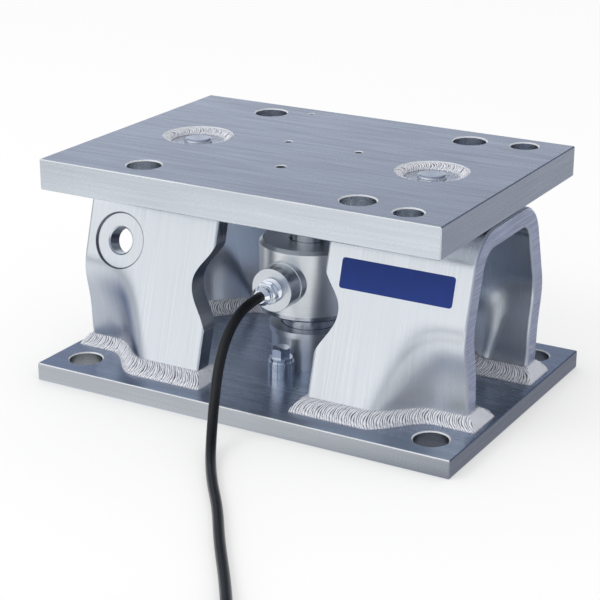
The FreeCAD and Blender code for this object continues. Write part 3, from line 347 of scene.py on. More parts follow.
# The notches in the legs' inner ends lie nearer to the cell than this and below this height, and the square
# of their walls' normal along Y is less than this.
NOTCH_END = 56 * MM
NOTCH_TOP = 104 * MM
NOTCH_WALL = 0.25
# The squares of the normal along X between which a face turns into a sawn end.
SAWN_END = (0.8, 0.95)


def sheet_finish(colour, cut_end, die_mark):
    # Folded stainless sheet, pickled and wiped down, which leaves a satin face with faint upright lines,
    # drawn 0.9 mm wide so that they show. Painted shade darkens the bends beside the pressed corners, the
    # left yoke's more than the right one's. The sawn ends are greyer with level saw lines, drawn 1.2 mm
    # wide so that they show, the notched ends towards the cell carry painted shade, and a thin ring of
    # painted shade lies in the edge of the spot face. By the right yoke's outer welds painted light lies on
    # the bend: the sheet there is made less metallic, so that it shows lighter.
    def surface(tree):
        normal = add(tree, "NewGeometry").outputs["Normal"]
        where = add(tree, "TexCoord").outputs["Object"]
        along, across, height = add(tree, "SeparateXYZ", {0: where}).outputs
        reach = add(tree, "Math", {0: along}, operation="ABSOLUTE")
        lean = add(tree, "Math", {0: height, 1: BEND_LEAN}, operation="MULTIPLY")
        bend = add(tree, "Math", {0: reach, 1: lean}, operation="SUBTRACT")
        rise = add(tree, "MapRange", {
            "Value": bend, "From Min": BEND - BEND_INWARD, "From Max": BEND},
            interpolation_type="SMOOTHSTEP")
        fall = add(tree, "MapRange", {
            "Value": bend, "From Min": BEND, "From Max": BEND + BEND_OUTWARD,
            "To Min": 1.0, "To Max": MARK_OUTER})
        below = fading(tree, where, UP, *MARK_HEIGHTS)
        on_side = add(tree, "MapRange", {
            "Value": along, "From Min": -1 * MM, "From Max": 1 * MM, "To Min": 1.0, "To Max": MARK_RIGHT})
        sideways = add(tree, "VectorMath", {0: normal, 1: ACROSS}, operation="DOT_PRODUCT")
        facing = add(tree, "Math", {0: sideways, 1: across}, operation="MULTIPLY")
        outer = add(tree, "Math", {0: facing, 1: 0.0}, operation="GREATER_THAN")
        pressed = add(tree, "Math", {0: rise, 1: outer}, operation="MULTIPLY")
        # Painted shade on the bends beside the pressed corners, less towards the yoke's end and on the right
        # yoke.
        marked = pressed
        for share in (fall, below, on_side):
            marked = add(tree, "Math", {0: marked, 1: share}, operation="MULTIPLY")
        faces = add(tree, "Mix", {SHARE: marked, COLOUR_A: colour, COLOUR_B: die_mark}, data_type="RGBA")

        endwise = add(tree, "VectorMath", {0: normal, 1: ALONG}, operation="DOT_PRODUCT")
        end_share = add(tree, "Math", {0: endwise, 1: endwise}, operation="MULTIPLY")
        sawn = add(tree, "MapRange", {
            "Value": end_share, "From Min": SAWN_END[0], "From Max": SAWN_END[1]},
            interpolation_type="SMOOTHSTEP")
        side_share = add(tree, "Math", {0: sideways, 1: sideways}, operation="MULTIPLY")
        notched = add(tree, "Math", {0: side_share, 1: NOTCH_WALL}, operation="LESS_THAN")
        for distance, limit in ((reach, NOTCH_END), (height, NOTCH_TOP)):
            within = add(tree, "Math", {0: distance, 1: limit}, operation="LESS_THAN")
            notched = add(tree, "Math", {0: notched, 1: within}, operation="MULTIPLY")
        cut_share = add(tree, "Math", {0: sawn, 1: notched}, operation="MAXIMUM")
        outward = add(tree, "Math", {0: endwise, 1: along}, operation="MULTIPLY")
        inner = add(tree, "Math", {0: outward, 1: 0.0}, operation="LESS_THAN")
        saw_lines = add(tree, "ValToRGB", {"Fac": ground_lines(tree, (1.2 * MM, 25 * MM, 1.2 * MM))}, stops=[
            (0.35, shade(cut_end, 0.82)), (0.65, shade(cut_end, 1.16))])
        # Painted shade: the notched ends towards the cell take the cut ends' colour darkened to 0.38.
        cut = add(tree, "Mix", {
            SHARE: inner, COLOUR_A: saw_lines, COLOUR_B: shade(cut_end, 0.38)}, data_type="RGBA")
        ends = add(tree, "Mix", {SHARE: cut_share, COLOUR_A: faces, COLOUR_B: cut}, data_type="RGBA")

        # Painted shade: a thin dark ring round the spot face's edge, on the front leg.
        from_spot = add(tree, "VectorMath", {0: where, 1: SPOT_MIDDLE}, operation="SUBTRACT")
        sweep = add(tree, "VectorMath", {0: from_spot, 1: SPOT_AXIS}, operation="CROSS_PRODUCT")
        radius = add(tree, "VectorMath", {0: sweep}, operation="LENGTH")
        scale = add(tree, "Math", {0: radius, 1: SPOT_EDGE, 2: SPOT_EDGE_HALF}, operation="COMPARE")
        in_front = add(tree, "Math", {0: across, 1: 0.0}, operation="LESS_THAN")
        edge = add(tree, "Math", {0: scale, 1: in_front}, operation="MULTIPLY")
        steel = add(tree, "Mix", {
            SHARE: edge, COLOUR_A: ends, COLOUR_B: shade(cut_end, 0.24)}, data_type="RGBA")

        # Painted light: low on the right yoke's bends the sheet is made less metallic, so that it shows
        # lighter.
        on_right = add(tree, "Math", {0: along, 1: 0.0}, operation="GREATER_THAN")
        etched = pressed
        for share in (fading(tree, where, UP, *ETCH_HEIGHTS), on_right):
            etched = add(tree, "Math", {0: etched, 1: share}, operation="MULTIPLY")
        metallic = add(tree, "MapRange", {"Value": etched, "To Min": 1.0, "To Max": 0.45})
        lines = ground_lines(tree, (0.9 * MM, 60 * MM, 90 * MM))
        tangent = add(tree, "VectorMath", {0: normal, 1: UP}, operation="CROSS_PRODUCT")
        return ground_steel(
            tree, steel, lines, tangent, rough=0.3, anisotropic=0.25, contrast=0.05, depth=0.012 * MM,
            metallic=metallic)
    return surface


def turned_finish(colour, rough, axis, centre, pitch=0.5 * MM, depth=0.003 * MM):
    # Bar turned on a lathe: fine rings round the axis, drawn about five times as wide as real feed marks.
    def surface(tree):
        where = add(tree, "TexCoord").outputs["Object"]
        from_axis = add(tree, "VectorMath", {0: where, 1: centre}, operation="SUBTRACT")
        along = add(tree, "VectorMath", {0: from_axis, 1: axis}, operation="DOT_PRODUCT")
        around = add(tree, "VectorMath", {0: axis, 1: from_axis}, operation="CROSS_PRODUCT")
        reach = add(tree, "VectorMath", {0: around}, operation="LENGTH")
        place = add(tree, "CombineXYZ", {0: reach, 1: along})
        rings = add(tree, "TexNoise", {"Vector": place, "Scale": 1 / pitch, "Detail": 2.0})
        normal = add(tree, "NewGeometry").outputs["Normal"]
        tangent = add(tree, "VectorMath", {0: normal, 1: around}, operation="CROSS_PRODUCT")
        return ground_steel(tree, colour, rings, tangent, rough, anisotropic=0.4, contrast=0.03, depth=depth)
    return surface


def weld_finish(colour):
    # Stainless weld bead brushed after welding, with painted light on its ripples: a painted highlight on
    # the crowns and painted shade in the lines between the ripples; and dull specks of 0.6 mm.
    def surface(tree):
        where = add(tree, "TexCoord").outputs["Object"]
        specks = add(tree, "TexNoise", {"Vector": where, "Scale": 1 / (0.6 * MM), "Detail": 4.0})
        clouds = add(tree, "TexNoise", {"Vector": where, "Scale": 1 / (9 * MM), "Detail": 2.0})
        tint = add(tree, "ValToRGB", {"Fac": specks}, stops=[(0.34, shade(colour, 0.78)), (0.5, colour)])
        crest = add(tree, "Attribute", attribute_name="crest").outputs["Fac"]
        brushed = add(tree, "MapRange", {
            "Value": crest, "From Min": 0.2, "From Max": 0.75, "To Min": 0.1, "To Max": 1.25})
        metal = add(tree, "Mix", {
            SHARE: 1.0, COLOUR_A: tint, COLOUR_B: brushed}, data_type="RGBA", blend_type="MULTIPLY")
        gloss = add(tree, "MapRange", {"Value": clouds, **NOISE_SPAN, "To Min": 0.36, "To Max": 0.52})
        relief = add(tree, "Bump", {"Height": specks, "Strength": 0.7, "Distance": 0.2 * MM})
        return add(tree, "BsdfPrincipled", {
            "Base Color": metal, "Metallic": 0.3, "Roughness": gloss, "Normal": relief})
    return surface


def plated_finish(colour, rough):
    # Plated metal: an even bright skin with slight clouding a few millimetres wide.
    def surface(tree):
        where = add(tree, "TexCoord").outputs["Object"]
        clouds = add(tree, "TexNoise", {"Vector": where, "Scale": 1 / (4 * MM), "Detail": 3.0})
        tint = add(tree, "Mix", {
            SHARE: clouds, COLOUR_A: shade(colour, 0.9), COLOUR_B: shade(colour, 1.06)}, data_type="RGBA")
        gloss = add(tree, "MapRange", {
            "Value": clouds, **NOISE_SPAN, "To Min": rough * 0.7, "To Max": rough * 1.3})
        return add(tree, "BsdfPrincipled", {"Base Color": tint, "Metallic": 1.0, "Roughness": gloss})
    return surface


def plastic_finish(colour, rough, grit):
    # Extruded or moulded plastic or rubber: a fine grit in the gloss and slight clouds in the colour.
    def surface(tree):
        where = add(tree, "TexCoord").outputs["Object"]
        grains = add(tree, "TexNoise", {"Vector": where, "Scale": 1 / grit, "Detail": 3.0})
        clouds = add(tree, "TexNoise", {"Vector": where, "Scale": 1 / (20 * MM), "Detail": 2.0})
        tint = add(tree, "Mix", {
            SHARE: clouds, COLOUR_A: shade(colour, 0.8), COLOUR_B: shade(colour, 1.25)}, data_type="RGBA")
        gloss = add(tree, "MapRange", {
            "Value": grains, **NOISE_SPAN, "To Min": rough * 0.8, "To Max": rough * 1.2})
        relief = add(tree, "Bump", {"Height": grains, "Strength": 0.25, "Distance": 0.05 * MM})
        return add(tree, "BsdfPrincipled", {"Base Color": tint, "Roughness": gloss, "Normal": relief})
    return surface


def core_finish(tree):
    # Coloured PVC insulation, one colour for each of the four cores, with a soft gloss.
    island = add(tree, "NewGeometry").outputs["Random Per Island"]
    tint = add(tree, "ValToRGB", {"Fac": island}, stops=[
        (0.0, linear("#B4302A")), (0.25, linear("#D9D9D4")), (0.5, linear("#2B7A3D")),
        (0.75, linear("#22242A"))])
    tint.color_ramp.interpolation = "CONSTANT"
    return add(tree, "BsdfPrincipled", {"Base Color": tint, "Roughness": 0.4})


def board_finish(colour):
    # Glass-fibre laminate under green lacquer: copper tracks 0.5 mm wide show lighter through it.
    def surface(tree):
        where = add(tree, "TexCoord").outputs["Object"]
        tracks = add(tree, "TexWave", {
            "Vector": where, "Scale": 1 / (9 * MM), "Distortion": 6.0, "Detail": 1.0}, wave_type="RINGS")
        tint = add(tree, "ValToRGB", {"Fac": tracks}, stops=[(0.8, colour), (0.86, shade(colour, 1.9))])
        return add(tree, "BsdfPrincipled", {"Base Color": tint, "Roughness": 0.3})
    return surface


def gauge_finish(colour):
    # Polyimide film with an etched grid of 0.4 mm lines.
    def surface(tree):
        where = add(tree, "TexCoord").outputs["Object"]
        grid = add(tree, "TexWave", {"Vector": where, "Scale": 1 / (2.5 * MM)}, bands_direction="DIAGONAL")
        tint = add(tree, "ValToRGB", {"Fac": grid}, stops=[(0.55, colour), (0.6, shade(colour, 0.45))])
        return add(tree, "BsdfPrincipled", {"Base Color": tint, "Roughness": 0.28})
    return surface


def tag_finish(colour):
    # Aluminium tag, anodised blue: an even satin colour, worn a little paler in patches of some millimetres.
    def surface(tree):
        where = add(tree, "TexCoord").outputs["Object"]
        wear = add(tree, "TexNoise", {"Vector": where, "Scale": 1 / (7 * MM), "Detail": 4.0})
        tint = add(tree, "Mix", {
            SHARE: wear, COLOUR_A: shade(colour, 0.86), COLOUR_B: shade(colour, 1.18)}, data_type="RGBA")
        gloss = add(tree, "MapRange", {"Value": wear, **NOISE_SPAN, "To Min": 0.38, "To Max": 0.5})
        return add(tree, "BsdfPrincipled", {
            "Base Color": tint, "Roughness": gloss, "Specular IOR Level": 0.25})
    return surface


# Shapes

def piece(name, data, made):
    """A new object that rides on the module and has the given finish."""
    thing = bpy.data.objects.new(name, data)
    bpy.context.scene.collection.objects.link(thing)
    data.materials.append(made)
    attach(thing, "root")
    return thing


def solid_mesh(name, points, faces, crests=(), smooth=True):
    """A mesh whose faces look outwards; crests says how far up a weld's ripple each point lies."""
    mesh = bpy.data.meshes.new(name)
    mesh.from_pydata(points, [], faces)
    builder = bmesh.new()
    builder.from_mesh(mesh)
    bmesh.ops.recalc_face_normals(builder, faces=builder.faces)
    builder.to_mesh(mesh)
    builder.free()
    mesh.polygons.foreach_set("use_smooth", [smooth] * len(mesh.polygons))
    if crests:
        mesh.attributes.new("crest", "FLOAT", "POINT").data.foreach_set("value", crests)
    return mesh


def tube_faces(rings, steps, closed=True):
    """Faces of a tube of rings of points, which closes on itself or else has a cap at each end."""
    faces = []
    for ring in range(rings if closed else rings - 1):
        here = ring * steps
        there = (ring + 1) % rings * steps
        for step in range(steps):
            following = (step + 1) % steps
            faces.append((here + step, here + following, there + following, there + step))
    if not closed:
        last = (rings - 1) * steps
        faces.append(tuple(reversed(range(steps))))
        faces.append(tuple(range(last, last + steps)))
    return faces


# The foot of the right yoke's front leg, as in the part's source, in millimetres: its height above the
# floor, the knee's height and distance from the middle, how far the leg leans outwards and its pressed
# corner inwards, the sheet's thickness along Y, its ends along X, and the S bend's middle at the foot and at
# the knee, half its length, and its handles as a share of that length.
FOOT = 12.0
KNEE = 71.0
KNEE_OUT = 60.2
LEG_LEAN = math.radians(16.28)
LEG_SLOPE = math.tan(LEG_LEAN)
PRESS_SLOPE = math.tan(math.radians(9.8))
SHEET = 13.5 / math.cos(LEG_LEAN)
YOKE_ENDS = (40.0, 139.0)
SWAY_PLACES = (98.0, 112.0)
SWAY_HALF = 19.0
SWAY_REACH = 0.4
# Points on the straight run, the S bend, the pressed run and the end of a foot.
FOOT_STEPS = (150, 150, 100, 110)


def bezier(start, first, second, end, share):
    """A point on a cubic curve from start to end with two handles."""
    rest = 1 - share
    return (start * rest ** 3 + first * 3 * rest ** 2 * share
            + second * 3 * rest * share ** 2 + end * share ** 3)


def foot_loop(height, grow, end_grow, level=None):
    """Points round the foot's outline at a height, grown outwards, laid at a level."""
    flat = -(KNEE_OUT + LEG_SLOPE * (KNEE - height))
    depth = (LEG_SLOPE + PRESS_SLOPE) * (KNEE - height)
    middle = SWAY_PLACES[0] + (height - FOOT) / (KNEE - FOOT) * (SWAY_PLACES[1] - SWAY_PLACES[0])
    # A face that is moved out also moves the S bend along, by the tangent of half the bend's angle.
    lean = math.tan(math.atan(depth / (SWAY_HALF * (2 - 2 * SWAY_REACH))) / 2)
    level = height if level is None else level

    def side(offset):
        """Corners of one face of the sheet."""
        out = flat - offset
        shift = middle + offset * lean
        return [Vector(corner) for corner in (
            (YOKE_ENDS[0] - end_grow, out, level), (shift - SWAY_HALF, out, level),
            (shift + SWAY_HALF, out + depth, level), (YOKE_ENDS[1] + end_grow, out + depth, level))]

    front = side(grow)
    back = side(-SHEET - grow)[::-1]
    points = []
    for face, other, order in ((front, back, (0, 1, 2)), (back, front, (2, 1, 0))):
        reach = (face[2] - face[1]).x * SWAY_REACH
        handle = Vector((reach, 0, 0))
        runs = [(face[0], face[1], None), (face[1], face[2], handle), (face[2], face[3], None)]
        for (start, end, bend), count in zip(runs, [FOOT_STEPS[step] for step in order]):
            for step in range(count):
                share = step / count
                if bend is None:
                    points.append(start.lerp(end, share))
                else:
                    points.append(bezier(start, start + bend, end - bend, end, share))
        for step in range(FOOT_STEPS[3]):
            points.append(face[3].lerp(other[0], step / FOOT_STEPS[3]))
    return points


def rounded(loop, reach, passes):
    """A closed loop with its corners worn round."""
    count = len(loop)
    span = range(-reach, reach + 1)
    for _ in range(passes):
        loop = [
            sum((loop[(here + step) % count] for step in span), Vector()) / len(span)
            for here in range(count)
        ]
    return loop


# How far the middle of a weld ripple runs ahead of its ends, in ripples.
RIPPLE_LEAD = 1.4
# Waves by which ripples stray from an even pitch: how far, and how often along and across the bead. They
# fade out over some points where the bead joins itself.
RIPPLE_STRAY = ((0.2, 1.3, 4.0), (0.09, 4.1, -7.0))
STRAY_FADE = 20
# The ripples' mean height and its spread as shares, and two numbers that shuffle it from ripple to ripple.
RIPPLE_MEAN = 0.8
RIPPLE_SPREAD = 0.4
RIPPLE_SHUFFLE = (12.9898, 4.1414)
# A bead runs across the sheet's ends where it runs this much more along Y than along X.
END_RUN = 3


def stray_share(here, count):
    """0 at both ends of a loop, where it joins itself, and 1 between them."""
    return min(1.0, here / STRAY_FADE, (count - here) / STRAY_FADE)


def bead(toe, lip, roots, sizes, rows=12, ends=1.0):
    """A crowned weld bead between two loops, rippled like fallen coins and closed through its roots.

    Its ripples are flatter, by the share given as ends, where it runs across the sheet's ends.
    """
    count = len(toe)
    middle = [low.lerp(high, 0.5) for low, high in zip(toe, lip)]
    marks = [0.0]
    for here in range(count):
        marks.append(marks[-1] + (middle[(here + 1) % count] - middle[here]).length)
    ripples = round(marks[-1] * MM / sizes.ripple_pitch)
    height = sizes.ripple_height / MM
    bulge = sizes.bead_bulge / MM
    rings = []
    crests = []
    for row in range(rows + 1):
        share = row / rows
        crown = math.sin(math.pi * share)
        ring = []
        for here in range(count):
            along = toe[(here + 1) % count] - toe[here - 1]
            rise = lip[here] - toe[here]
            normal = along.cross(rise).normalized()
            if normal.z < 0:
                normal.negate()
            even = marks[here] / marks[-1] * ripples
            stray = sum(reach * math.sin(often * even + turn * share) for reach, often, turn in RIPPLE_STRAY)
            phase = even + RIPPLE_LEAD * crown + stray * stray_share(here, count)
            number = math.floor(phase) % ripples
            shuffle = math.sin(number * RIPPLE_SHUFFLE[0]) * math.sin(number * RIPPLE_SHUFFLE[1])
            size = RIPPLE_MEAN + RIPPLE_SPREAD * shuffle
            crest = abs(math.sin(math.pi * phase))
            if abs(along.y) > END_RUN * abs(along.x):
                size *= ends
                crest = 1 - ends + ends * crest
            lift = crown * bulge + crown ** 0.5 * height * size * crest
            crests.append(crest)
            ring.append(toe[here].lerp(lip[here], share) + normal * lift)
        rings.append(ring)
    rings.extend(roots)
    crests.extend([0.0] * count * len(roots))
    return [point * MM for ring in rings for point in ring], tube_faces(len(rings), count), crests


def flipped(points, across=1, along=1):
    """The same points mirrored across X or Y."""
    return [Vector((point.x * across, point.y * along, point.z)) for point in points]


def gathered(parts):
    """Several lists of points, faces and crests as one."""
    points = []
    faces = []
    crests = []
    for some_points, some_faces, some_crests in parts:
        faces.extend([[corner + len(points) for corner in face] for face in some_faces])
        points.extend(some_points)
        crests.extend(some_crests)
    return points, faces, crests


def circle(radius, level, centre, count=420):
    """Points of a level circle whose centre lies on the X axis."""
    return [
        Vector((centre + radius * math.cos(2 * math.pi * step / count),
                radius * math.sin(2 * math.pi * step / count), level))
        for step in range(count)
    ]


# Stage

# Directions on the floor.
FRONT = (-0.25, -0.97, 0.0)
FRONT_LEFT = (-0.5, -0.87, 0.0)
BACK_LEFT = (-0.5, 0.87, 0.0)
LEFT = (-1.0, 0.0, 0.0)
# Metres from the middle between which the paper, as reflections show it, grows light in front, dims further
# out, grows light behind at the left and grows dark beside the module.
PAPER_FRONT = (0.05, 0.11)
PAPER_FAR = (0.95, 0.62)
PAPER_BEHIND = (0.45, 0.8)
PAPER_BESIDE = (0.1, 0.2)
# How far a direction of length 1 points to a side and up between which the room grows white behind at the
# left and dark at the left.
ROOM_BEHIND = (0.84, 0.95)
ROOM_BEHIND_UP = (0.34, 0.19)
ROOM_BESIDE = (0.7, 0.92)
ROOM_BESIDE_UP = (0.3, 0.08)
# Painted reflections: what reflections show of the paper where it is lit, where it isn't, and of the dark
# corner at the left.
LIT = linear("#F6F8FA")
UNLIT = linear("#979BAA")
DARK = linear("#4B5065")
# The key lamp's width and height, its place and the way that it faces, in metres.
KEY_SIZE = (1.4, 1.0)
KEY_PLACE = (-1.0, -1.5, 1.7)
KEY_FACES = (1.0, 1.5, -1.65)
# How far the floor lies below the base plate.
FLOOR_GAP = 0.1 * MM
# The camera's sensor in millimetres.
SENSOR_WIDTH = 36.0


def ray_kinds(tree, shown, glossy, other):
    """One shader for what the camera sees, one for reflections and one for all other light."""
    path = add(tree, "LightPath").outputs
    plain = add(tree, "MixShader", {0: path["Is Glossy Ray"], 1: other, 2: glossy})
    direct = add(tree, "Math", {
        0: path["Is Camera Ray"], 1: path["Is Transmission Ray"]}, operation="MAXIMUM")
    return add(tree, "MixShader", {0: direct, 1: plain, 2: shown})


def floor_finish(tree):
    # White paper floor that keeps a soft shadow, darkest where the base plate stands; its glow is dimmed
    # near the module by ambient occlusion, a painted contact shadow. Reflections show it with painted
    # light: lit in front and far behind at the left, and dark beside the module at the left.
    where = add(tree, "TexCoord").outputs["Object"]
    paper = add(tree, "BsdfDiffuse", {"Color": linear("#AEAEAE")})
    contact = add(tree, "AmbientOcclusion", {"Distance": 40 * MM}).outputs["AO"]
    # Painted contact shadow: the glow dims with ambient occlusion near the module.
    even = add(tree, "MapRange", {"Value": contact, "To Min": 0.38, "To Max": 0.62})
    glow = add(tree, "Emission", {"Strength": even})
    in_front = add(tree, "Math", {
        0: fading(tree, where, FRONT, *PAPER_FRONT),
        1: fading(tree, where, FRONT_LEFT, *PAPER_FAR)}, operation="MULTIPLY")
    behind = fading(tree, where, BACK_LEFT, *PAPER_BEHIND)
    lit = add(tree, "Math", {0: in_front, 1: behind}, operation="MAXIMUM")
    beside = fading(tree, where, LEFT, *PAPER_BESIDE)
    dim = add(tree, "Mix", {SHARE: beside, COLOUR_A: UNLIT, COLOUR_B: DARK}, data_type="RGBA")
    tint = add(tree, "Mix", {SHARE: lit, COLOUR_A: dim, COLOUR_B: LIT}, data_type="RGBA")
    mirrored = add(tree, "Emission", {"Color": tint})
    shadowed = add(tree, "BsdfDiffuse", {"Color": linear("#5A5A5A")})
    shown = add(tree, "AddShader", {0: paper, 1: glow})
    glossy = add(tree, "AddShader", {0: shadowed, 1: mirrored})
    return ray_kinds(tree, shown, glossy, paper)


def studio_world():
    """A room that is white at the front left and darker towards the back right.

    Low down it is white behind at the left and dark at the left.
    """
    world = bpy.data.worlds.new("white_studio")
    world.use_nodes = True
    tree = world.node_tree
    tree.nodes.clear()
    direction = add(tree, "TexCoord").outputs["Generated"]
    facing = add(tree, "VectorMath", {0: direction, 1: FRONT_LEFT}, operation="DOT_PRODUCT")
    place = add(tree, "MapRange", {"Value": facing, "From Min": -1.0})
    tint = add(tree, "ValToRGB", {"Fac": place}, stops=[
        (0.0, linear("#596173")), (0.93, shade(linear("#FBFDFF"), 1.04)), (0.5, linear("#959EB1")),
        (0.78, linear("#BFC7D4"))])
    sweep = add(tree, "Math", {
        0: fading(tree, direction, BACK_LEFT, *ROOM_BEHIND),
        1: fading(tree, direction, UP, *ROOM_BEHIND_UP)}, operation="MULTIPLY")
    wall = add(tree, "Mix", {
        SHARE: sweep, COLOUR_A: tint, COLOUR_B: shade(linear("#ECF2FF"), 1.12)}, data_type="RGBA")
    beside = add(tree, "Math", {
        0: fading(tree, direction, LEFT, *ROOM_BESIDE),
        1: fading(tree, direction, UP, *ROOM_BESIDE_UP)}, operation="MULTIPLY")
    room = add(tree, "Mix", {SHARE: beside, COLOUR_A: wall, COLOUR_B: DARK}, data_type="RGBA")
    mirrored = add(tree, "Background", {"Color": room, "Strength": 1.05})
    light = add(tree, "Background", {"Color": linear("#E2E2E2"), "Strength": 1.0})
    white = add(tree, "Background", {"Color": linear("#FFFFFF"), "Strength": 1.0})
    add(tree, "OutputWorld", {"Surface": ray_kinds(tree, white, mirrored, light)})
    return world


class MODULE_OT_stage(bpy.types.Operator):
    """Camera, floor, lamp and surroundings"""
    bl_idname = "weighing_module.stage"
    bl_label = "Stage"

    def execute(self, context):
        studio = context.scene.module_studio
        context.scene.view_settings.view_transform = "Standard"
        lens = bpy.data.cameras.new("camera")
        lens.sensor_width = SENSOR_WIDTH
        lens.lens = studio.lens
        camera = bpy.data.objects.new("camera", lens)
        azimuth, elevation, roll = studio.azimuth, studio.elevation, studio.roll
        level = math.cos(elevation)
        back = Vector((math.sin(azimuth) * level, -math.cos(azimuth) * level, math.sin(elevation)))
        right = Vector((math.cos(azimuth), math.sin(azimuth), 0))
        up = back.cross(right)
        rolled_right = right * math.cos(roll) + up * math.sin(roll)
        rolled_up = up * math.cos(roll) - right * math.sin(roll)
        camera.matrix_world = Matrix.Translation(studio.place) @ Matrix(
            (rolled_right, rolled_up, back)).transposed().to_4x4()
        context.scene.collection.objects.link(camera)
        context.scene.camera = camera

        half = studio.floor_size / 2
        paper = bpy.data.meshes.new("floor")
        corners = [(-half, -half, 0), (half, -half, 0), (half, half, 0), (-half, half, 0)]
        paper.from_pydata(corners, [], [(0, 1, 2, 3)])
        paper.materials.append(material("white_paper_matt", floor_finish))
        floor = bpy.data.objects.new("floor", paper)
        floor.location.z = -FLOOR_GAP
        context.scene.collection.objects.link(floor)

        lamp = bpy.data.lights.new("key", "AREA")
        lamp.shape = "RECTANGLE"
        lamp.size, lamp.size_y = KEY_SIZE
        lamp.energy = studio.key_power
        key = bpy.data.objects.new("key", lamp)
        key.location = KEY_PLACE
        key.rotation_euler = Vector(KEY_FACES).to_track_quat("-Z", "Y").to_euler()
        key.visible_glossy = False
        context.scene.collection.objects.link(key)
        context.scene.world = studio_world()
        return {"FINISHED"}


# Cable

# The cable's route in millimetres, from inside the gland's nozzle down to the floor and out to the coil.
ROUTE = [
    (0, -62, 74.3), (0, -77, 74.3), (0, -92.8, 69.6), (0, -105, 59.2), (0.2, -113.7, 43.5),
    (1.5, -121, 23.5), (9, -136, 8.5), (19.5, -153.5, 3.25), (36, -177.5, 3.25), (56, -203, 3.25),
    (78, -236, 3.25), (103, -270, 3.25), (123, -299.6, 4.45), (139, -323.3, 4.45),
]
# The coil in millimetres: the straight runs into and out of it, the steps from its outer turn to its inner
# one, its turns, the points in a turn and the height of its lower layer.
COIL_LEAD = 34.0
COIL_LEAVE = 28.0
COIL_STEPS = 4
COIL_TURNS = 2 * COIL_STEPS + 1.25
COIL_POINTS = 16
LOWER_LAYER = 4.45
# A quadratic spline runs inside its control points; this share of their radius is left in a coil.
SPLINE_SHRINK = 0.981
# The free tail in millimetres: its runs level, downwards and along the floor, its turn and height there.
TAIL_LEVEL = 10.0
TAIL_SLOPE = 46.0
TAIL_RUN = 30.0
TAIL_TURN = math.radians(14)
TAIL_HEIGHT = 3.95


def coil_and_tail(sizes):
    """The put-away coil in two flat layers, wound inwards below and outwards above, and the free tail."""
    pitch = sizes.coil_pitch / MM
    inner = sizes.coil_inner / MM
    outer = inner + COIL_STEPS * pitch
    upper_layer = LOWER_LAYER + pitch
    end = Vector(ROUTE[-1])
    heading = (end - Vector(ROUTE[-2])).normalized()
    side = Vector((heading.y, -heading.x, 0))
    centre = end + heading * COIL_LEAD + side * outer
    points = []
    for step in range(int(COIL_TURNS * COIL_POINTS) + 1):
        turn = step / COIL_POINTS
        climb = min(max(turn - COIL_STEPS, 0), 1)
        radius = inner + pitch * (max(COIL_STEPS - turn, 0) + max(turn - COIL_STEPS - 1, 0))
        level = LOWER_LAYER + pitch * math.sqrt(1 - (1 - climb) ** 2)
        angle = 2 * math.pi * turn
        spoke = heading * math.sin(angle) - side * math.cos(angle)
        points.append(Vector((centre + spoke * radius / SPLINE_SHRINK).xy.to_3d()) + Vector((0, 0, level)))
    leave = centre + heading * outer
    bent = Matrix.Rotation(-TAIL_TURN, 3, "Z") @ side
    landing = leave + side * (COIL_LEAVE + TAIL_LEVEL + TAIL_SLOPE)
    for place, level in (
            (leave + side * COIL_LEAVE, upper_layer),
            (leave + side * (COIL_LEAVE + TAIL_LEVEL), upper_layer),
            (landing, TAIL_HEIGHT), (landing + bent * TAIL_RUN, TAIL_HEIGHT)):
        points.append(Vector((place.x, place.y, level)))
    return points


class MODULE_OT_cable(bpy.types.Operator):
    """The signal cable with its coil"""
    bl_idname = "weighing_module.cable"
    bl_label = "Cable"

    def execute(self, context):
        sizes = context.scene.module_sizes
        colours = context.scene.module_colours
        points = [Vector(point) for point in ROUTE] + coil_and_tail(sizes)
        line = bpy.data.curves.new("signal_cable", "CURVE")
        line.dimensions = "3D"
        line.bevel_depth = sizes.cable_diameter / 2
        line.bevel_resolution = 5
        line.resolution_u = 8
        line.use_fill_caps = True
        spline = line.splines.new("NURBS")
        spline.points.add(len(points) - 1)
        for knot, point in zip(spline.points, points):
            knot.co = (*(point * MM), 1.0)
        spline.order_u = 3
        spline.use_endpoint_u = True
        finish = plastic_finish(colours.jacket, rough=0.35, grit=0.5 * MM)
        jacket = material("polyurethane_jacket_extruded", finish)
        cable = piece("signal_cable", line, jacket)
        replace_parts(cable, "cable", "cable_coil", "cable_tail")
        return {"FINISHED"}


class MODULE_OT_cable_end(bpy.types.Operator):
    """Finishes of the coil's tie, the end sleeve and the cores"""
    bl_idname = "weighing_module.cable_end"
    bl_label = "Cable end"

    def execute(self, context):
        colours = context.scene.module_colours
        tie = plastic_finish(colours.rubber, rough=0.6, grit=0.7 * MM)
        dress(material("nylon_tie_woven", tie), "coil_tie")
        sleeve = plastic_finish(colours.rubber, rough=0.45, grit=0.4 * MM)
        dress(material("shrink_sleeve_moulded", sleeve), "cable_end_sleeve")
        dress(material("pvc_cores_extruded", core_finish), "cable_cores")
        entry = plastic_finish(colours.jacket, rough=0.35, grit=0.5 * MM)
        dress(material("polyurethane_entry_extruded", entry), "cable_entry")
        return {"FINISHED"}


# Steel pieces

# Half the length and width that hold each plate's holes, at any height; its sides lie outside them.
TOP_INSIDE = (138 * MM, 98 * MM, 1.0)
BASE_INSIDE = (148 * MM, 98 * MM, 1.0)


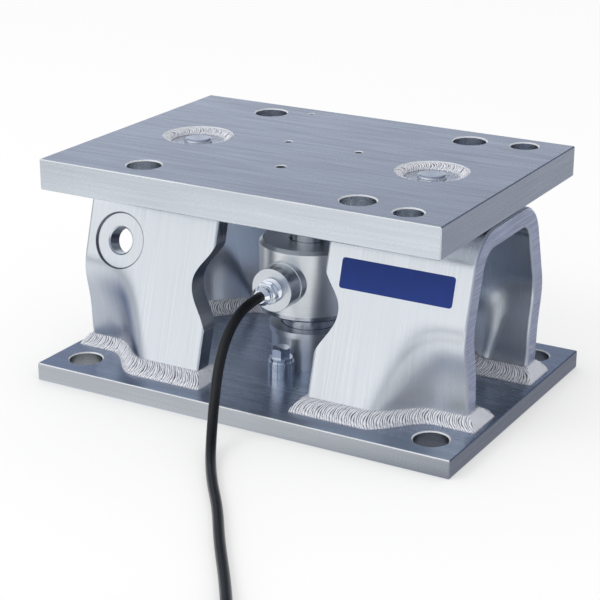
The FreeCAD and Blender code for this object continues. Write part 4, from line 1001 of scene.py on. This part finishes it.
class MODULE_OT_plates(bpy.types.Operator):
    """Finish of the base plate and the top plate"""
    bl_idname = "weighing_module.plates"
    bl_label = "Plates"

    def execute(self, context):
        colours = context.scene.module_colours
        side = colours.plate_side
        # Painted highlight for both plates' upward edges.
        edge = colours.broken_edge
        # Painted shade in the top plate's holes: their walls are darker than its sides.
        wall = colours.plate_steel
        face = shade(colours.plate_steel, 0.97)
        top = plate_finish(face, side, edge, wall, anisotropic=0.55, outline=TOP_INSIDE)
        dress(material("stainless_top_plate_ground", top), "top_plate")
        side = shade(colours.plate_side, 0.62)
        # Painted shade in the base plate's holes: their walls take its sides' colour darkened to 0.36.
        wall = shade(colours.plate_side, 0.36)
        face = colours.base_steel
        base = plate_finish(face, side, edge, wall, anisotropic=0.7, outline=BASE_INSIDE)
        dress(material("stainless_base_plate_ground", base), "base_plate")
        return {"FINISHED"}


class MODULE_OT_yokes(bpy.types.Operator):
    """Finish of the folded yokes"""
    bl_idname = "weighing_module.yokes"
    bl_label = "Yokes"

    def execute(self, context):
        colours = context.scene.module_colours
        finish = sheet_finish(colours.yoke_steel, colours.cut_end, colours.die_mark)
        sheet = material("stainless_sheet_pickled", finish)
        dress(sheet, "right_yoke", "left_yoke")
        return {"FINISHED"}


# The foot beads in millimetres: how far they spread over the plate at the sides and at the ends, how far
# they climb, how far their upper edge stands off the sheet, how deep their root lies in it, how far that
# climbs, and how deep their underside lies in the plate.
BEAD_SPREAD = 9.0
BEAD_END_SPREAD = 7.5
BEAD_CLIMB = 8.0
BEAD_LIP = 0.8
BEAD_ROOT = 3.0
BEAD_ROOT_CLIMB = 7.5
BEAD_SINK = 0.1
# The studs' distance from the middle, in millimetres, and the radii and heights of the beads round their
# heads: at the inner edge, at the outer edge and at the roots.
STUD_PLACE = 85.75
RING_INNER = (17.25, 148.15)
RING_OUTER = (22.75, 152.0)
RING_ROOTS = ((22.8, 151.9), (22.8, 148.1))


class MODULE_OT_weld_beads(bpy.types.Operator):
    """Rippled weld beads round the yokes' feet and the studs' heads"""
    bl_idname = "weighing_module.weld_beads"
    bl_label = "Weld beads"

    def execute(self, context):
        sizes = context.scene.module_sizes
        metal = material("stainless_weld_brushed", weld_finish(context.scene.module_colours.weld_metal))
        toe = foot_loop(FOOT, BEAD_SPREAD, BEAD_END_SPREAD, FOOT - BEAD_SINK)
        toe = rounded(toe, reach=5, passes=2)
        lip = rounded(foot_loop(FOOT + BEAD_CLIMB, BEAD_LIP, BEAD_LIP), reach=2, passes=2)
        roots = [
            foot_loop(FOOT + BEAD_CLIMB, -BEAD_ROOT, -BEAD_ROOT, FOOT + BEAD_ROOT_CLIMB),
            foot_loop(FOOT, -BEAD_ROOT, -BEAD_ROOT, FOOT - BEAD_SINK)]
        points, faces, crests = bead(toe, lip, roots, sizes, ends=0.5)
        for side, across in (("right", 1), ("left", -1)):
            both = gathered([(flipped(points, across, along), faces, crests) for along in (1, -1)])
            name = f"{side}_foot_beads"
            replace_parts(piece(name, solid_mesh(name, *both), metal), f"{side}_yoke_welds")
        rings = []
        for centre in (-STUD_PLACE, STUD_PLACE):
            toe = circle(*RING_INNER, centre)
            lip = circle(*RING_OUTER, centre)
            roots = [circle(*root, centre) for root in RING_ROOTS]
            rings.append(bead(toe, lip, roots, sizes, rows=9))
        mesh = solid_mesh("stud_head_beads", *gathered(rings))
        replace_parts(piece("stud_head_beads", mesh, metal), "holddown_welds")
        return {"FINISHED"}


class MODULE_OT_holddowns(bpy.types.Operator):
    """Finish of the hold-down studs, washers and nuts"""
    bl_idname = "weighing_module.holddowns"
    bl_label = "Hold-down studs"

    def execute(self, context):
        colours = context.scene.module_colours
        for name, centre in (("right_holddown_bolt", STUD_PLACE), ("left_holddown_bolt", -STUD_PLACE)):
            finish = turned_finish(
                colours.turned_steel, rough=0.24, axis=UP, centre=(centre * MM, 0.0, 0.0))
            dress(material(f"stainless_{name}_turned", finish), name)
        nuts = material("zinc_plated_nuts", plated_finish(colours.zinc, rough=0.3))
        dress(nuts, "holddown_washers", "holddown_nuts", "holddown_locknuts")
        return {"FINISHED"}


class MODULE_OT_load_cell(bpy.types.Operator):
    """Finish of the canister load cell and its column"""
    bl_idname = "weighing_module.load_cell"
    bl_label = "Load cell"

    def execute(self, context):
        colours = context.scene.module_colours
        shell = turned_finish(
            colours.canister_steel, rough=0.36, axis=UP, centre=MIDDLE, pitch=0.4 * MM, depth=0.001 * MM)
        dress(material("stainless_canister_turned", shell), "load_cell_housing", "load_cell_lid")
        column = turned_finish(colours.hardened_steel, rough=0.2, axis=UP, centre=MIDDLE)
        dress(material("hardened_column_ground", column), "load_cell_column")
        return {"FINISHED"}


class MODULE_OT_receivers(bpy.types.Operator):
    """Finish of the cups and bearing discs above and below the cell"""
    bl_idname = "weighing_module.receivers"
    bl_label = "Receivers"

    def execute(self, context):
        colours = context.scene.module_colours
        cups = turned_finish(colours.turned_steel, rough=0.34, axis=UP, centre=MIDDLE)
        dress(material("stainless_cups_turned", cups), "lower_receiver", "upper_receiver")
        discs = turned_finish(colours.hardened_steel, rough=0.12, axis=UP, centre=MIDDLE)
        dress(material("hardened_discs_lapped", discs), "lower_bearing_disc", "upper_bearing_disc")
        screws = material("zinc_plated_screws", plated_finish(colours.zinc, rough=0.28))
        dress(screws, "base_screws", "receiver_screws")
        return {"FINISHED"}


# The gland's stub in millimetres: its axis, the ends of its thread and the radius of the thread's foot,
# which lies a little inside the stub.
GLAND_AXIS = 74.3
STUB_ENDS = (47.4, 53.7)
STUB_RADIUS = 7.3
# The thread: steps in a turn, its profile in pitches along the stub and in shares of its height, how deep
# its foot lies in the stub, how far it may run past its ends, both in millimetres, and the turns in which
# it runs out.
THREAD_STEPS = 48
THREAD_PROFILE = ((-0.46, 0.0), (-0.08, 1.0), (0.08, 1.0), (0.46, 0.0))
THREAD_ROOT = 0.1
THREAD_PAST = 0.3
THREAD_RUNOUT = 0.5
# The boss in millimetres: radius and distance from the canister's axis, None where it meets the canister.
BOSS_PROFILE = (
    (14.5, None), (14.5, 36.8), (14.0, 37.05), (14.0, 37.35), (14.3, 37.6), (14.3, 49.5), (14.1, 49.7),
    (6.2, 49.7), (6.2, None),
)
BOSS_STEPS = 144
BOSS_SHARP = math.radians(30)
CANISTER_RADIUS = 33.35


def boss_mesh():
    """The turned boss with a groove round its root, saddled to the canister."""
    points = []
    for radius, along in BOSS_PROFILE:
        for step in range(BOSS_STEPS):
            angle = 2 * math.pi * step / BOSS_STEPS
            across = radius * math.cos(angle)
            forward = math.sqrt(CANISTER_RADIUS ** 2 - across ** 2) if along is None else along
            points.append(Vector((across, -forward, GLAND_AXIS + radius * math.sin(angle))) * MM)
    mesh = solid_mesh("cable_boss_turned", points, tube_faces(len(BOSS_PROFILE), BOSS_STEPS))
    mesh.set_sharp_from_angle(angle=BOSS_SHARP)
    return mesh


def thread(sizes):
    """A V thread wound round the gland's stub, run out at both ends."""
    pitch = sizes.thread_pitch / MM
    height = sizes.thread_height / MM + THREAD_ROOT
    turns = (STUB_ENDS[1] - STUB_ENDS[0]) / pitch
    count = int(turns * THREAD_STEPS)
    points = []
    for step in range(count + 1):
        angle = 2 * math.pi * step / THREAD_STEPS
        forward = STUB_ENDS[0] + pitch * step / THREAD_STEPS
        fade = min(1.0, step / THREAD_STEPS / THREAD_RUNOUT, (count - step) / THREAD_STEPS / THREAD_RUNOUT)
        for ahead, lift in THREAD_PROFILE:
            radius = STUB_RADIUS + height * lift * fade
            along = max(forward + ahead * pitch, STUB_ENDS[0] - THREAD_PAST)
            along = min(along, STUB_ENDS[1] + THREAD_PAST)
            level = GLAND_AXIS + radius * math.sin(angle)
            points.append(Vector((radius * math.cos(angle), -along, level)) * MM)
    return points, tube_faces(count + 1, len(THREAD_PROFILE), closed=False)


class MODULE_OT_gland(bpy.types.Operator):
    """The cable gland: boss, threaded stub, hexagon and seal"""
    bl_idname = "weighing_module.gland"
    bl_label = "Cable gland"

    def execute(self, context):
        colours = context.scene.module_colours
        forward = (0.0, -1.0, 0.0)
        centre = (0.0, 0.0, GLAND_AXIS * MM)
        boss_steel = shade(colours.turned_steel, 0.86)
        finish = turned_finish(boss_steel, rough=0.24, axis=forward, centre=centre)
        turned = material("stainless_boss_turned", finish)
        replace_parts(piece("cable_boss_turned", boss_mesh(), turned), "cable_boss")
        finish = turned_finish(colours.nickel, rough=0.09, axis=forward, centre=centre)
        nickel = material("nickel_plated_brass_turned", finish)
        dress(nickel, "gland_body", "gland_nut")
        mesh = solid_mesh("gland_thread", *thread(context.scene.module_sizes), smooth=False)
        piece("gland_thread", mesh, nickel)
        seal = plastic_finish(colours.rubber, rough=0.55, grit=0.6 * MM)
        dress(material("nitrile_gland_seal_moulded", seal), "gland_seal")
        return {"FINISHED"}


# The anti-rotation bolt's place on the base plate.
ANTI_ROTATION = (0.0, -38 * MM, 0.0)


class MODULE_OT_anti_rotation(bpy.types.Operator):
    """Finish of the anti-rotation bolt and its sleeve"""
    bl_idname = "weighing_module.anti_rotation"
    bl_label = "Anti-rotation bolt"

    def execute(self, context):
        colours = context.scene.module_colours
        sleeve = turned_finish(colours.canister_steel, rough=0.1, axis=UP, centre=ANTI_ROTATION)
        dress(material("stainless_sleeve_turned", sleeve), "anti_rotation_sleeve")
        dress(material("zinc_plated_bolt", plated_finish(colours.zinc, rough=0.08)), "anti_rotation_bolt")
        return {"FINISHED"}


class MODULE_OT_inner_parts(bpy.types.Operator):
    """Finish of the seals, strain gauges and signal board inside"""
    bl_idname = "weighing_module.inner_parts"
    bl_label = "Inner parts"

    def execute(self, context):
        colours = context.scene.module_colours
        seals = plastic_finish(colours.rubber, rough=0.55, grit=0.6 * MM)
        dress(material("nitrile_seals_moulded", seals), "lower_seal_ring", "upper_seal_ring")
        dress(material("polyimide_gauges_etched", gauge_finish(colours.gauge_film)), "strain_gauges")
        dress(material("glass_fibre_board_lacquered", board_finish(colours.laminate)), "signal_board")
        return {"FINISHED"}


# The blank tag in millimetres: its lower left corner on the right yoke's front leg along X and up, its
# corners' radius, its edge's bevel, how deep it sits in the sheet, and the steps in a corner.
TAG_CORNER = (51.3, 87.4)
TAG_ROUND = 2.0
TAG_EDGE = 0.12
TAG_SINK = 0.1
TAG_STEPS = 8


class MODULE_OT_name_tag(bpy.types.Operator):
    """The blank blue tag on the right yoke"""
    bl_idname = "weighing_module.name_tag"
    bl_label = "Name tag"

    def execute(self, context):
        sizes = context.scene.module_sizes
        length = sizes.tag_length / MM
        height = sizes.tag_height / MM
        thick = sizes.tag_thickness / MM
        rightward = Vector(ALONG)
        upward = Vector((0, math.sin(LEG_LEAN), math.cos(LEG_LEAN)))
        outward = Vector((0, -math.cos(LEG_LEAN), math.sin(LEG_LEAN)))
        start = Vector((TAG_CORNER[0], -(KNEE_OUT + LEG_SLOPE * (KNEE - TAG_CORNER[1])), TAG_CORNER[1]))

        def outline(inset, lift):
            """Points round the tag, some way in from its edge and off the sheet."""
            points = []
            radius = TAG_ROUND - inset
            for corner, (right, top) in enumerate(((1, 0), (1, 1), (0, 1), (0, 0))):
                middle = (
                    right * (length - TAG_ROUND) + (1 - right) * TAG_ROUND,
                    top * (height - TAG_ROUND) + (1 - top) * TAG_ROUND)
                for step in range(TAG_STEPS + 1):
                    angle = math.pi / 2 * (corner - 1 + step / TAG_STEPS)
                    points.append(
                        start + rightward * (middle[0] + radius * math.cos(angle))
                        + upward * (middle[1] + radius * math.sin(angle)) + outward * lift)
            return points

        rings = [outline(0.0, -TAG_SINK), outline(0.0, thick - TAG_EDGE), outline(TAG_EDGE, thick)]
        points = [point * MM for ring in rings for point in ring]
        faces = tube_faces(len(rings), len(rings[0]), closed=False)
        mesh = solid_mesh("name_tag", points, faces, smooth=False)
        blue = material("aluminium_tag_anodised", tag_finish(context.scene.module_colours.tag_blue))
        piece("name_tag", mesh, blue)
        return {"FINISHED"}


class MODULE_PT_panel(bpy.types.Panel):
    """Lists the steps, the sizes and the colours"""
    bl_idname = "MODULE_PT_panel"
    bl_label = "Weighing module"
    bl_space_type = "VIEW_3D"
    bl_region_type = "UI"
    bl_category = "Weighing module"

    def draw(self, context):
        column = self.layout.column()
        for operator in OPERATORS:
            column.operator(operator.bl_idname)
        for group in (context.scene.module_sizes, context.scene.module_colours, context.scene.module_studio):
            for name in group.__annotations__:
                column.prop(group, name)


OPERATORS = (
    MODULE_OT_stage, MODULE_OT_cable, MODULE_OT_cable_end, MODULE_OT_plates, MODULE_OT_yokes,
    MODULE_OT_weld_beads, MODULE_OT_holddowns, MODULE_OT_load_cell, MODULE_OT_receivers, MODULE_OT_gland,
    MODULE_OT_anti_rotation, MODULE_OT_inner_parts, MODULE_OT_name_tag,
)
GROUPS = (ModuleSizes, ModuleColours, ModuleStudio)


def register():
    for kind in (*GROUPS, *OPERATORS, MODULE_PT_panel):
        bpy.utils.register_class(kind)
    bpy.types.Scene.module_sizes = bpy.props.PointerProperty(type=ModuleSizes)
    bpy.types.Scene.module_colours = bpy.props.PointerProperty(type=ModuleColours)
    bpy.types.Scene.module_studio = bpy.props.PointerProperty(type=ModuleStudio)


def unregister():
    del bpy.types.Scene.module_studio
    del bpy.types.Scene.module_colours
    del bpy.types.Scene.module_sizes
    for kind in reversed((*GROUPS, *OPERATORS, MODULE_PT_panel)):
        bpy.utils.unregister_class(kind)


def main():
    register()
    bpy.ops.weighing_module.stage()
    bpy.ops.weighing_module.cable()
    bpy.ops.weighing_module.cable_end()
    bpy.ops.weighing_module.plates()
    bpy.ops.weighing_module.yokes()
    bpy.ops.weighing_module.weld_beads()
    bpy.ops.weighing_module.holddowns()
    bpy.ops.weighing_module.load_cell()
    bpy.ops.weighing_module.receivers()
    bpy.ops.weighing_module.gland()
    bpy.ops.weighing_module.anti_rotation()
    bpy.ops.weighing_module.inner_parts()
    bpy.ops.weighing_module.name_tag()


if __name__ == "__main__":
    main()
